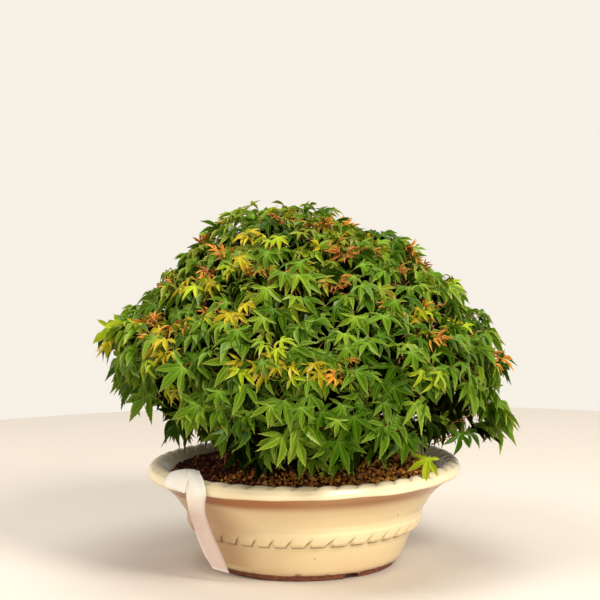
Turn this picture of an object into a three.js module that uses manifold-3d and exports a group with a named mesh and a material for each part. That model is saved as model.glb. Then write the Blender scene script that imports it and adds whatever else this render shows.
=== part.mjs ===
// Potted Japanese maple, a small clump-crowned bonsai in a round glazed pot.
// Units are millimetres, +Z is up, and the front faces -Y.
// The origin is the centre of the pot's foot, on the surface it stands on.
import * as THREE from 'three';
import { mergeVertices } from 'three/addons/utils/BufferGeometryUtils.js';
import Module from 'manifold-3d';

const wasm = await Module();
wasm.setup();

// ---------------------------------------------------------------- dimensions
const FIT_GAP = 0.35;            // clearance between touching pieces

// pot
const FOOT_R = 71.5;             // outer radius of the foot ring
const FOOT_INNER_R = 58;         // inner radius of the foot ring
const FOOT_RECESS = 3.2;         // depth of the recess under the floor
const POT_FLOOR_TOP = 11;        // inside floor level
const BAND_R = 92.6;             // crest radius of the rope band
const BAND_Z = 35;               // its height
const NECK_R = 101.6;            // wall under the flared lip
const NECK_Z = 57;
const RIM_R = 125.6;             // outermost radius of the lip
const RIM_Z = 77;
const CREST_R = 119;             // crest of the rope rim
const CREST_Z = 83.5;
const MOUTH_R = 106.6;           // inner edge of the lip, where the soil starts
const MOUTH_Z = 76;
const WALL_T = 7.5;              // wall thickness
const POT_SEGMENTS = 40;
const NOTCH_COUNT = 3;           // drainage notches through the foot ring
const NOTCH_W = 12;
const NOTCH_H = 3.1;
const NOTCH_FIRST = -60;         // azimuth of the first notch, degrees from +X

// soil
const SOIL_EDGE_Z = 76;
const SOIL_TOP_Z = 89;
const SOIL_FLAT_R = 33;          // level ground round the root flare
const SOIL_SEGMENTS = 28;

// trunk
const TRUNK_BASE_Z = SOIL_TOP_Z + FIT_GAP;
const TRUNK_TIP_Z = 214;
const TRUNK_BASE_R = 15.5;       // radius above the root flare
const TRUNK_TIP_R = 3.2;
const TRUNK_FLARE = 0.95;        // how far the root flare spreads, as a share of the radius
const TRUNK_FLARE_H = 15;        // height over which it fades
const TRUNK_ROOTS = 6;           // ridges round the flare
const TRUNK_X = [-13, -15, -11, -5, -3]; // lean and sway of the trunk, foot to tip
const TRUNK_Y = [2, 0, 3, 1, 0];

// crown
const CROWN_PROFILE = [          // height, outer radius
  [92, 154], [112, 162], [150, 165], [184, 163.5], [196, 155], [208, 139],
  [226, 124], [244, 104], [262, 86], [275, 68], [285, 44], [290.5, 4],
];
const CROWN_BOTTOM = 93;         // underside of the lowest foliage
const CROWN_SHIFT_X = 0.6;       // the crown sits a little to the right of the pot
const LEFT_SHELF = 0.022;        // sprays that stand out on the left, at mid height
const LEFT_SKIRT = 0.7;          // the left side is tucked in under this height
const LEFT_SKIRT_Z = 121;
const HOLLOW = 0.5;              // open space inside, as a share of the outer radius
const HOLLOW_Z = 92;
const HOLLOW_H = 112;
const MASS_GAP = 1.3;            // daylight between neighbouring masses
const MASS_DETAIL = 2;
const ROUNDING_ANGLE = 13;        // the masses' edges are rounded over this angle
const ROUNDING_RAYS = 6;

// the masses of foliage: tier, how many, height, distance out, first azimuth
const TIERS = [
  { tier: 'top', count: 1, z: 250, out: 0.0, start: 0 },
  { tier: 'upper', count: 5, z: 222, out: 0.56, start: 54 },
  { tier: 'middle', count: 8, z: 171, out: 0.73, start: 22.5 },
  { tier: 'lower', count: 8, z: 121, out: 0.76, start: 0 },
];

// the limbs: one to each mass below the top; heights on the trunk and sizes
const LIMBS = {
  upper: { low: 146, high: 172, root: 4.6, tip: 2.6, rise: 10 },
  middle: { low: 120, high: 146, root: 5.0, tip: 2.7, rise: 12 },
  lower: { low: 101, high: 119, root: 4.8, tip: 2.5, rise: 9 },
};
const LIMB_SIDES = 6;
const LIMB_STEPS = 6;

// paper strip over the rim: rows of left edge and right edge, top of the arch first
const TAG_T = 0.8;
const TAG_LONG = [
  [[-78, -68, 80.2], [-70, -72, 80.2]],
  [[-83.5, -78, 89.6], [-76.5, -81, 90.2]],
  [[-89.6, -87.5, 90.2], [-79.4, -89, 89.8]],
  [[-90.2, -93, 84.6], [-75.8, -98, 84.6]],
  [[-89.9, -95.5, 76.3], [-73.9, -104, 77]],
  [[-89.2, -94.5, 68.9], [-75.2, -100.5, 69.1]],
  [[-88, -91.5, 60.6], [-75.4, -96.5, 60.8]],
  [[-83.9, -81, 42.1], [-71.6, -85.5, 43.8]],
  [[-78.1, -74.5, 24.4], [-65.4, -79, 26.3]],
  [[-71.3, -70, 11.1], [-58.8, -73.5, 8]],
];
const TAG_SHORT = [
  [[-80, -66, 80.2], [-72, -70.5, 80.2]],
  [[-91, -74, 89.2], [-78.5, -79, 90.0]],
  [[-102.5, -77.5, 88], [-85.5, -86.5, 89.4]],
  [[-106.6, -82, 83.6], [-88, -95, 84.2]],
  [[-107.6, -82.5, 79.4], [-90.8, -97.5, 75.7]],
];

// ---------------------------------------------------------------- materials
const finish = (color, roughness, metalness = 0) =>
  new THREE.MeshStandardMaterial({ color, roughness, metalness });
const GLAZE = finish(0xe8d3a2, 0.28);
const SOIL = finish(0x6b3a20, 0.95);
const BARK = finish(0x6d5136, 0.85);
const PAPER = finish(0xf3ece2, 0.8);
const LEAVES = {
  top: finish(0x7d9a34, 0.55), upper: finish(0x6f9632, 0.55),
  middle: finish(0x5d8c2c, 0.55), lower: finish(0x4f7f28, 0.55),
};

// ---------------------------------------------------------------- helpers
const rad = THREE.MathUtils.degToRad;
const lerp = THREE.MathUtils.lerp;

function solid(geometry) {
  const g = geometry.clone();
  for (const name of Object.keys(g.attributes)) if (name !== 'position') g.deleteAttribute(name);
  const m = mergeVertices(g, 1e-3);
  const p = m.attributes.position.array;
  const keep = [];
  for (let i = 0; i < m.index.count; i += 3) {
    const [a, b, c] = [m.index.getX(i), m.index.getX(i + 1), m.index.getX(i + 2)];
    if (a !== b && b !== c && c !== a) keep.push(a, b, c);
  }
  let volume = 0;
  for (let i = 0; i < keep.length; i += 3) {
    const [a, b, c] = [keep[i] * 3, keep[i + 1] * 3, keep[i + 2] * 3];
    volume += p[a] * (p[b + 1] * p[c + 2] - p[b + 2] * p[c + 1])
      - p[a + 1] * (p[b] * p[c + 2] - p[b + 2] * p[c])
      + p[a + 2] * (p[b] * p[c + 1] - p[b + 1] * p[c]);
  }
  if (volume < 0) for (let i = 0; i < keep.length; i += 3) [keep[i], keep[i + 1]] = [keep[i + 1], keep[i]];
  return new wasm.Manifold(new wasm.Mesh({
    numProp: 3, vertProperties: new Float32Array(p), triVerts: new Uint32Array(keep),
  }));
}

function geometryOf(manifold) {
  const mesh = manifold.getMesh();
  const g = new THREE.BufferGeometry();
  g.setAttribute('position', new THREE.BufferAttribute(new Float32Array(mesh.vertProperties), 3));
  g.setIndex(new THREE.BufferAttribute(new Uint32Array(mesh.triVerts), 1));
  g.computeVertexNormals();
  return g;
}

const part = new THREE.Group();
function add(name, manifold, material) {
  const mesh = new THREE.Mesh(geometryOf(manifold), material);
  mesh.name = name;
  part.add(mesh);
}

// a turned form from (radius, height) pairs that start and end on the axis
function turned(profile, segments) {
  const g = new THREE.LatheGeometry(profile.map(([r, z]) => new THREE.Vector2(r, z)), segments);
  g.rotateX(Math.PI / 2);
  return solid(g);
}

// a bent round limb: a cylinder laid along a curve, with its radius given by radiusAt(t, angle)
function bent(points, radiusAt, sides, steps) {
  const curve = new THREE.CatmullRomCurve3(points);
  const frames = curve.computeFrenetFrames(steps, false);
  const g = new THREE.CylinderGeometry(1, 1, 1, sides, steps);
  const p = g.attributes.position;
  for (let i = 0; i < p.count; i++) {
    const t = p.getY(i) + 0.5;
    const k = Math.round(t * steps);
    const x = p.getX(i);
    const z = p.getZ(i);
    const spoke = Math.hypot(x, z) < 1e-6 ? 0 : radiusAt(t, Math.atan2(z, x));
    const at = curve.getPointAt(t);
    const angle = Math.atan2(z, x);
    at.addScaledVector(frames.normals[k], spoke * Math.cos(angle));
    at.addScaledVector(frames.binormals[k], spoke * Math.sin(angle));
    p.setXYZ(i, at.x, at.y, at.z);
  }
  return solid(g);
}

// ---------------------------------------------------------------- pot
const potProfile = [
  [0, FOOT_RECESS], [FOOT_INNER_R - 2, FOOT_RECESS], [FOOT_INNER_R, 0], [FOOT_R, 0],
  [76.7, 5.6], [81.1, 13.6], [84.6, 24.2], [88.4, 28.2], [BAND_R, BAND_Z - 2], [BAND_R, BAND_Z + 3],
  [93.3, 44], [96.6, 50.6], [NECK_R, NECK_Z], [107.4, 63.6], [115.5, 69.4], [124.2, 73.6],
  [RIM_R, RIM_Z], [123.6, 81.6], [CREST_R, CREST_Z], [113.4, 81.4], [MOUTH_R, MOUTH_Z],
  [NECK_R - 4, NECK_Z + 8], [BAND_R - WALL_T, BAND_Z + 6], [84.6 - WALL_T, 24.2],
  [81.1 - WALL_T - 2, 14.6], [66, POT_FLOOR_TOP], [0, POT_FLOOR_TOP],
];
let pot = turned(potProfile, POT_SEGMENTS);
for (let i = 0; i < NOTCH_COUNT; i++) {
  const notch = new THREE.BoxGeometry(36, NOTCH_W, NOTCH_H * 2);
  notch.translate(FOOT_R - 4, 0, 0);
  notch.rotateZ(rad(NOTCH_FIRST + (360 / NOTCH_COUNT) * i));
  pot = pot.subtract(solid(notch));
}
add('pot', pot, GLAZE);

// ---------------------------------------------------------------- soil
const g = FIT_GAP;
add('soil', turned([
  [0, POT_FLOOR_TOP + g], [65.6, POT_FLOOR_TOP + g], [81.1 - WALL_T - 2.5, 14.8], [84.6 - WALL_T - 0.5, 24.4],
  [BAND_R - WALL_T - 0.5, BAND_Z + 6.2], [NECK_R - 4.5, NECK_Z + 8.2], [MOUTH_R - 1.2, SOIL_EDGE_Z],
  [88, 80.6], [66, 84.6], [48, 87.6], [SOIL_FLAT_R, SOIL_TOP_Z], [0, SOIL_TOP_Z],
], SOIL_SEGMENTS), SOIL);

// ---------------------------------------------------------------- trunk
const trunkPoints = TRUNK_X.map((x, i) =>
  new THREE.Vector3(x, TRUNK_Y[i], lerp(TRUNK_BASE_Z, TRUNK_TIP_Z, i / (TRUNK_X.length - 1))));
const trunkCurve = new THREE.CatmullRomCurve3(trunkPoints);
const trunkAt = (z) => trunkCurve.getPoint((z - TRUNK_BASE_Z) / (TRUNK_TIP_Z - TRUNK_BASE_Z));
const trunkRadius = (grow) => (t, angle) => {
  const rise = t * (TRUNK_TIP_Z - TRUNK_BASE_Z);
  const flare = TRUNK_FLARE * Math.exp(-rise / (TRUNK_FLARE_H * 0.5));
  const ridges = 0.62 + 0.38 * Math.cos(TRUNK_ROOTS * angle + 0.6 * Math.sin(angle));
  return lerp(TRUNK_BASE_R, TRUNK_TIP_R, t ** 0.9) * (1 + flare * ridges) + grow;
};

// the trunk's rings stay level, so its foot is a flat cut on the ground
function trunkSolid(grow) {
  const steps = 14;
  const geometry = new THREE.CylinderGeometry(1, 1, 1, 18, steps);
  const p = geometry.attributes.position;
  for (let i = 0; i < p.count; i++) {
    const t = (p.getY(i) + 0.5) ** 1.5;
    const angle = Math.atan2(p.getZ(i), p.getX(i));
    const spoke = Math.hypot(p.getX(i), p.getZ(i)) < 1e-6 ? 0 : trunkRadius(grow)(t, angle);
    const at = trunkAt(lerp(TRUNK_BASE_Z, TRUNK_TIP_Z, t));
    p.setXYZ(i, at.x + spoke * Math.cos(angle), at.y + spoke * Math.sin(angle), lerp(TRUNK_BASE_Z, TRUNK_TIP_Z, t));
  }
  return solid(geometry);
}

// ---------------------------------------------------------------- crown shape
function profileRadius(z) {
  const rows = CROWN_PROFILE;
  if (z <= rows[0][0]) return rows[0][1];
  for (let i = 1; i < rows.length; i++) {
    if (z <= rows[i][0]) return lerp(rows[i - 1][1], rows[i][1], (z - rows[i - 1][0]) / (rows[i][0] - rows[i - 1][0]));
  }
  return 0;
}

// 1 towards an azimuth, falling smoothly to 0 at the given spread (degrees)
function towards(azimuth, at, spread) {
  const off = Math.abs(((azimuth - at + 540) % 360) - 180);
  return off >= spread ? 0 : 0.5 + 0.5 * Math.cos((Math.PI * off) / spread);
}

function crownRadius(azimuth, z) {
  const low = THREE.MathUtils.smoothstep(LEFT_SKIRT_Z + 5 - z, 0, 10);
  let share = 1;
  share -= (1 - LEFT_SKIRT) * low * towards(azimuth, 180, 85);
  share -= 0.12 * low * towards(azimuth, -90, 70);       // the front hangs just inside the rim
  share -= 0.10 * low * towards(azimuth, 90, 70);
  share += 0.075 * towards(azimuth, 0, 55) * THREE.MathUtils.smoothstep(118 - z, 0, 20); // lowest spray on the right
  share += LEFT_SHELF * towards(azimuth, 180, 60) * THREE.MathUtils.smoothstep(45 - Math.abs(z - 172), 0, 25);
  return profileRadius(z) * share;
}

function inCrown(x, y, z) {
  if (z < CROWN_BOTTOM) return false;
  const dx = x - CROWN_SHIFT_X;
  const azimuth = THREE.MathUtils.radToDeg(Math.atan2(y, dx));
  const q = Math.hypot(dx, y * 1.02) / crownRadius(azimuth, z);
  if (q >= 1) return false;
  return (q / HOLLOW) ** 2 + ((z - HOLLOW_Z) / HOLLOW_H) ** 2 >= 1;
}

const masses = [];
for (const { tier, count, z, out, start } of TIERS) {
  for (let i = 0; i < count; i++) {
    const azimuth = start + (360 / count) * i;
    const lift = count > 1 ? 5 * Math.sin(i * 2.4 + count) : 0;   // neighbours sit at uneven heights
    const height = z + lift;
    const reach = out * crownRadius(azimuth, height - (tier === 'lower' ? 6 : 0));
    masses.push({
      name: count > 1 ? `mass_${tier}_${i + 1}` : `mass_${tier}`,
      tier, azimuth, index: i,
      at: new THREE.Vector3(CROWN_SHIFT_X + reach * Math.cos(rad(azimuth)), reach * Math.sin(rad(azimuth)), height),
    });
  }
}

// how far a mass may reach from its middle along a direction: up to its
// neighbours, the crown's outline and the open space inside
function massRoom(mass, direction) {
  let far = 110;
  for (const other of masses) {
    if (other === mass) continue;
    const across = other.at.clone().sub(mass.at);
    const apart = across.length();
    across.divideScalar(apart);
    const facing = direction.dot(across);
    if (facing > 1e-6) far = Math.min(far, (apart / 2 - MASS_GAP / 2) / facing);
  }
  const { x, y, z } = mass.at;
  for (let s = 1.5; s < far; s += 1.5) {
    if (!inCrown(x + direction.x * s, y + direction.y * s, z + direction.z * s)) return s - 0.75;
  }
  return far;
}

// the reach itself: the room, rounded off towards its surroundings, with lumps
const reached = new Map();
function massReach(mass, direction) {
  const key = `${mass.name} ${direction.toArray().join(' ')}`;
  if (reached.has(key)) return reached.get(key);
  const room = massRoom(mass, direction);
  const side = new THREE.Vector3(0.3, -0.5, 0.81).cross(direction).normalize();
  let around = 0;
  for (let i = 0; i < ROUNDING_RAYS; i++) {
    const tilted = direction.clone().addScaledVector(side, Math.tan(rad(ROUNDING_ANGLE)))
      .applyAxisAngle(direction, (2 * Math.PI * i) / ROUNDING_RAYS).normalize();
    around += Math.min(massRoom(mass, tilted), room * 1.15) / ROUNDING_RAYS;
  }
  const k = mass.azimuth * 0.11 + mass.at.z;
  const lumps = Math.sin(5.1 * direction.x + k) * Math.sin(4.3 * direction.y - 1.7 * k) * Math.sin(4.7 * direction.z + 0.9 * k);
  const reach = Math.min(room, 0.25 * room + 0.75 * around) * (0.985 - 0.015 * lumps);
  reached.set(key, reach);
  return reach;
}

function massSolid(mass, scale = 1) {
  const geometry = new THREE.IcosahedronGeometry(1, MASS_DETAIL);
  const p = geometry.attributes.position;
  const d = new THREE.Vector3();
  for (let i = 0; i < p.count; i++) {
    d.fromBufferAttribute(p, i).normalize();
    d.set(Math.round(d.x * 1e5) / 1e5, Math.round(d.y * 1e5) / 1e5, Math.round(d.z * 1e5) / 1e5);
    const reach = massReach(mass, d) * scale + (scale > 1 ? 0.5 : 0);
    p.setXYZ(i, mass.at.x + d.x * reach, mass.at.y + d.y * reach, mass.at.z + d.z * reach);
  }
  return solid(geometry);
}

// ---------------------------------------------------------------- trunk, limbs, masses
const crown = masses.map((mass) => massSolid(mass));
const top = masses.findIndex((mass) => mass.tier === 'top');
const trunk = trunkSolid(0).subtract(massSolid(masses[top], 1.012));
add('trunk', trunk, BARK);

const trunkRoom = trunkSolid(g);
let limbRoom = null;
masses.forEach((mass, n) => {
  const size = LIMBS[mass.tier];
  if (!size) return;
  const share = ((mass.index * 3) % 8) / 7;              // limbs leave the trunk at staggered heights
  const from = trunkAt(lerp(size.low, size.high, share));
  const to = mass.at.clone();
  const spokes = to.clone().sub(from);
  const side = new THREE.Vector3(-spokes.y, spokes.x, 0).normalize();
  const sway = 3.5 * Math.sin(2.1 * n + 0.7);
  const path = [
    from,
    from.clone().lerp(to, 0.3).addScaledVector(side, sway).add(new THREE.Vector3(0, 0, size.rise * 0.55)),
    from.clone().lerp(to, 0.62).addScaledVector(side, -sway * 0.6).add(new THREE.Vector3(0, 0, size.rise)),
    to,
  ];
  const limb = (grow) => bent(path, (t) => lerp(size.root, size.tip, t) + grow, LIMB_SIDES, LIMB_STEPS);
  let body = limb(0).subtract(trunkRoom).subtract(massSolid(mass, 1.012));
  if (limbRoom) body = body.subtract(limbRoom);
  const pieces = body.decompose().filter((piece) => piece.volume() > 40);
  pieces.sort((a, b) => b.volume() - a.volume());
  add(mass.name.replace('mass', 'bough'), pieces[0], BARK);
  limbRoom = limbRoom ? limbRoom.add(limb(g)) : limb(g);
});

masses.forEach((mass, n) => add(mass.name, crown[n], LEAVES[mass.tier]));

// ---------------------------------------------------------------- paper strip
function ribbon(rows) {
  const positions = [];
  const quads = [];
  const n = rows.length;
  rows.forEach(([left, right], i) => {
    const l = new THREE.Vector3(...left);
    const r = new THREE.Vector3(...right);
    const before = new THREE.Vector3(...rows[Math.max(i - 1, 0)][0]);
    const after = new THREE.Vector3(...rows[Math.min(i + 1, n - 1)][0]);
    const out = after.sub(before).cross(r.clone().sub(l)).normalize().multiplyScalar(TAG_T / 2);
    for (const v of [l.clone().add(out), r.clone().add(out), r.clone().sub(out), l.clone().sub(out)]) positions.push(v.x, v.y, v.z);
  });
  const quad = (a, b, c, d) => quads.push(a, b, c, a, c, d);
  for (let i = 0; i < n - 1; i++) {
    for (let k = 0; k < 4; k++) quad(i * 4 + k, i * 4 + ((k + 1) % 4), (i + 1) * 4 + ((k + 1) % 4), (i + 1) * 4 + k);
  }
  quad(3, 2, 1, 0);
  quad(n * 4 - 4, n * 4 - 3, n * 4 - 2, n * 4 - 1);
  const geometry = new THREE.BufferGeometry();
  geometry.setAttribute('position', new THREE.Float32BufferAttribute(positions, 3));
  geometry.setIndex(quads);
  return solid(geometry);
}
add('paper_tag', ribbon(TAG_LONG).add(ribbon(TAG_SHORT)), PAPER);

export default part;
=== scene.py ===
import math
import bpy
import numpy as np
from mathutils import Vector, Matrix, noise


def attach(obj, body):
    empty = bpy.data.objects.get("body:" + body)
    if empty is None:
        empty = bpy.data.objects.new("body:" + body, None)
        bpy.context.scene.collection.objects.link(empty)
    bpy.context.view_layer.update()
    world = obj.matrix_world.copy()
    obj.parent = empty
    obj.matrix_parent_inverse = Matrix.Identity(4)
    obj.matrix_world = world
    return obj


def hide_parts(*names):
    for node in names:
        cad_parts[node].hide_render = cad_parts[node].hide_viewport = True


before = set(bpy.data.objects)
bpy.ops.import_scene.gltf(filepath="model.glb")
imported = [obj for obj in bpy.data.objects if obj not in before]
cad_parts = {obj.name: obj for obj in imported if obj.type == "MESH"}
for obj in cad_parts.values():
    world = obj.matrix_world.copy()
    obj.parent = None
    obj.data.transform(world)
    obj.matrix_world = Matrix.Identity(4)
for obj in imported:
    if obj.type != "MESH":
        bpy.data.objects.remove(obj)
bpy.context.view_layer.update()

MM = 0.001

# ============================================================ camera and stage
# The plant is seen from the front (-Y), a little from above, with a slight roll.
CAM_ELEVATION = math.radians(5.47)
CAM_ROLL = math.radians(0.8)
CAM_DISTANCE = 1.6
AIM = Vector((-0.00124, 0.0, 0.2124))


def make_camera():
    data = bpy.data.cameras.new("camera")
    data.lens = 120.0
    data.sensor_width = 36.0
    data.clip_start = 0.05
    data.clip_end = 60.0
    cam = bpy.data.objects.new("camera", data)
    bpy.context.scene.collection.objects.link(cam)
    back = Vector((0.0, -math.cos(CAM_ELEVATION), math.sin(CAM_ELEVATION)))
    right = Vector((1.0, 0.0, 0.0))
    up = back.cross(right)
    r = right * math.cos(CAM_ROLL) - up * math.sin(CAM_ROLL)
    u = up * math.cos(CAM_ROLL) + right * math.sin(CAM_ROLL)
    where = AIM + back * CAM_DISTANCE
    cam.matrix_world = Matrix((
        (r.x, u.x, back.x, where.x), (r.y, u.y, back.y, where.y), (r.z, u.z, back.z, where.z), (0, 0, 0, 1)))
    bpy.context.scene.camera = cam


def area_light(name, where, target, size, watts, colour, size_y=None):
    data = bpy.data.lights.new(name, "AREA")
    data.energy = watts
    data.color = colour
    data.size = size
    if size_y:
        data.shape = "RECTANGLE"
        data.size_y = size_y
    ob = bpy.data.objects.new(name, data)
    bpy.context.scene.collection.objects.link(ob)
    ob.location = where
    ob.rotation_euler = (Vector(target) - Vector(where)).to_track_quat("-Z", "Y").to_euler()


def make_stage():
    bpy.context.scene.view_settings.view_transform = "Standard"
    world = bpy.data.worlds.new("studio")
    bpy.context.scene.world = world
    world.use_nodes = True
    nt = world.node_tree
    bg = nt.nodes["Background"]
    # pale at the horizon, dimmer overhead, the way a studio's walls catch the light
    where = nt.nodes.new("ShaderNodeTexCoord")
    split = nt.nodes.new("ShaderNodeSeparateXYZ")
    ramp = nt.nodes.new("ShaderNodeValToRGB")
    nt.links.new(where.outputs["Generated"], split.inputs["Vector"])
    nt.links.new(split.outputs["Z"], ramp.inputs["Fac"])
    nt.links.new(ramp.outputs["Color"], bg.inputs["Color"])
    e = ramp.color_ramp.elements
    e[0].position, e[0].color = 0.10, (0.93, 0.875, 0.79, 1.0)
    e[1].position, e[1].color = 0.20, (0.11, 0.103, 0.092, 1.0)
    bg.inputs["Strength"].default_value = 1.0
    area_light("key", (1.15, -1.62, 1.62), (0, 0, 0.14), 0.65, 59.0, (1.0, 0.955, 0.88))
    area_light("fill", (-1.2, -0.9, 2.2), (0, 0, 0.12), 0.9, 26.0, (1.0, 0.96, 0.90))
    area_light("front", (0.55, -1.9, 0.42), (0, 0, 0.09), 0.4, 6.0, (1.0, 0.96, 0.88))
    area_light("overhead", (0.15, -0.1, 2.2), (0, 0, 0.2), 1.2, 30.0, (1.0, 0.97, 0.92))
    area_light("side", (-1.6, 0.45, 0.70), (0, 0, 0.10), 0.6, 9.0, (1.0, 0.97, 0.92))
    area_light("back", (0.7, 1.8, 1.6), (0, 0, 0.15), 1.0, 9.0, (1.0, 0.97, 0.92))

    n = 180
    co = [(0.0, 0.0, 0.0)] + [(0.85 * math.cos(2 * math.pi * i / n), 0.85 * math.sin(2 * math.pi * i / n), 0.0) for i in range(n)]
    faces = [(0, 1 + i, 1 + (i + 1) % n) for i in range(n)]
    me = bpy.data.meshes.new("floor")
    me.from_pydata(co, [], faces)
    floor = bpy.data.objects.new("floor", me)
    bpy.context.scene.collection.objects.link(floor)
    mat = bpy.data.materials.new("floor_paint")
    mat.use_nodes = True
    nt = mat.node_tree
    bsdf = nt.nodes["Principled BSDF"]
    tex = nt.nodes.new("ShaderNodeTexNoise")
    tex.inputs["Scale"].default_value = 3.0
    ramp = nt.nodes.new("ShaderNodeValToRGB")
    ramp.color_ramp.elements[0].color = (0.66, 0.60, 0.53, 1)
    ramp.color_ramp.elements[1].color = (0.70, 0.64, 0.57, 1)
    nt.links.new(tex.outputs["Fac"], ramp.inputs["Fac"])
    nt.links.new(ramp.outputs["Color"], bsdf.inputs["Base Color"])
    bsdf.inputs["Roughness"].default_value = 0.6
    bsdf.inputs["Specular IOR Level"].default_value = 0.3
    me.materials.append(mat)


# ============================================================ mesh helpers
class Heap:
    """Collects vertices (mm), faces and per-vertex numbers for one joined piece."""

    def __init__(self, *numbers):
        self.co, self.tri, self.quad, self.count = [], [], [], 0
        self.numbers = {k: [] for k in numbers}

    def add(self, co, tris=None, quads=None, **numbers):
        co = np.asarray(co, float).reshape(-1, 3)
        if tris is not None and len(tris):
            self.tri.append(np.asarray(tris, int) + self.count)
        if quads is not None and len(quads):
            self.quad.append(np.asarray(quads, int) + self.count)
        self.co.append(co)
        for k in self.numbers:
            self.numbers[k].append(np.broadcast_to(np.asarray(numbers.get(k, 0.0), float), (len(co),)))
        self.count += len(co)

    def piece(self, name, materials, smooth=True, crease=None):
        co = np.concatenate(self.co) * MM
        tri = np.concatenate(self.tri) if self.tri else np.zeros((0, 3), int)
        quad = np.concatenate(self.quad) if self.quad else np.zeros((0, 4), int)
        me = bpy.data.meshes.new(name)
        me.vertices.add(len(co))
        me.vertices.foreach_set("co", co.astype(np.float32).ravel())
        loops = np.concatenate([tri.ravel(), quad.ravel()]).astype(np.int32)
        me.loops.add(len(loops))
        me.loops.foreach_set("vertex_index", loops)
        starts = np.concatenate([np.arange(len(tri)) * 3, len(tri) * 3 + np.arange(len(quad)) * 4]).astype(np.int32)
        me.polygons.add(len(starts))
        me.polygons.foreach_set("loop_start", starts)
        me.polygons.foreach_set("use_smooth", np.full(len(starts), smooth, bool))
        for k, v in self.numbers.items():
            a = me.attributes.new(k, "FLOAT", "POINT")
            a.data.foreach_set("value", np.concatenate(v).astype(np.float32))
        me.update(calc_edges=True)
        me.validate()
        if crease:
            # the fold along each midrib is a sharp edge
            value = np.concatenate(self.numbers[crease])
            ends = np.zeros(len(me.edges) * 2, np.int32)
            me.edges.foreach_get("vertices", ends)
            on = value[ends].reshape(-1, 2).min(1) > 0.55
            me.attributes.new("sharp_edge", "BOOLEAN", "EDGE").data.foreach_set("value", on)
        for m in materials:
            me.materials.append(m)
        ob = bpy.data.objects.new(name, me)
        bpy.context.scene.collection.objects.link(ob)
        return ob


def unit(v):
    v = np.asarray(v, float)
    return v / np.maximum(np.linalg.norm(v, axis=-1, keepdims=True), 1e-9)


def frames_along(points):
    """Side vectors that don't twist along a line of points."""
    p = np.asarray(points, float)
    t = unit(np.gradient(p, axis=0))
    ref = np.array([0.0, 0.0, 1.0]) if abs(t[0][2]) < 0.9 else np.array([1.0, 0.0, 0.0])
    a = unit(np.cross(t[0], ref))
    rows = [a]
    for i in range(1, len(p)):
        a = a - t[i] * a.dot(t[i])
        a = a / max(np.linalg.norm(a), 1e-9)
        rows.append(a)
    a = np.array(rows)
    return t, a, np.cross(t, a)


def tube(heap, points, radii, sides, relief=None, caps=True, **numbers):
    p = np.asarray(points, float)
    n = len(p)
    radii = np.broadcast_to(np.asarray(radii, float), (n,))
    _, a, b = frames_along(p)
    ang = np.arange(sides) * 2 * math.pi / sides
    ca, sa = np.cos(ang), np.sin(ang)
    r = radii[:, None] * np.ones(sides)[None]
    if relief is not None:
        r = r * relief(p, ang, radii)
    co = p[:, None] + r[..., None] * (ca[None, :, None] * a[:, None] + sa[None, :, None] * b[:, None])
    co = co.reshape(-1, 3)
    i = np.arange(n - 1)[:, None] * sides
    k = np.arange(sides)[None]
    k2 = (k + 1) % sides
    quads = np.stack([i + k, i + k2, i + sides + k2, i + sides + k], -1).reshape(-1, 4)
    tris = []
    if caps:
        co = np.concatenate([co, p[:1], p[-1:]])
        s0, s1 = n * sides, n * sides + 1
        tris = [(s0, (j + 1) % sides, j) for j in range(sides)]
        tris += [(s1, (n - 1) * sides + j, (n - 1) * sides + (j + 1) % sides) for j in range(sides)]
    heap.add(co, tris, quads, **numbers)


def catmull(points, ts):
    """Points on the centripetal spline through the given points, at parameters 0..1."""
    pts = [np.asarray(q, float) for q in points]
    n = len(pts)
    out = []
    for t in ts:
        x = (n - 1) * min(max(t, 0.0), 1.0)
        i = min(int(math.floor(x)), n - 2)
        w = x - i
        p1, p2 = pts[i], pts[i + 1]
        p0 = pts[i - 1] if i > 0 else 2 * pts[0] - pts[1]
        p3 = pts[i + 2] if i + 2 < n else 2 * pts[-1] - pts[-2]
        d0, d1, d2 = [max(float(np.sum((q - r) ** 2)) ** 0.25, 1e-4) for q, r in ((p1, p0), (p2, p1), (p3, p2))]
        t1 = ((p1 - p0) / d0 - (p2 - p0) / (d0 + d1) + (p2 - p1) / d1) * d1
        t2 = ((p2 - p1) / d1 - (p3 - p1) / (d1 + d2) + (p3 - p2) / d2) * d1
        out.append(p1 + t1 * w + (-3 * p1 + 3 * p2 - 2 * t1 - t2) * w ** 2 + (2 * p1 - 2 * p2 + t1 + t2) * w ** 3)
    return np.array(out)


def even(points, count):
    """The same line with its points spread evenly along it."""
    p = np.asarray(points, float)
    s = np.concatenate([[0], np.cumsum(np.linalg.norm(np.diff(p, axis=0), axis=1))])
    at = np.linspace(0, s[-1], count)
    return np.stack([np.interp(at, s, p[:, k]) for k in range(p.shape[1])], 1)


def smoothstep(x, a, b):
    t = np.clip((np.asarray(x, float) - a) / (b - a), 0, 1)
    return t * t * (3 - 2 * t)


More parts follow.
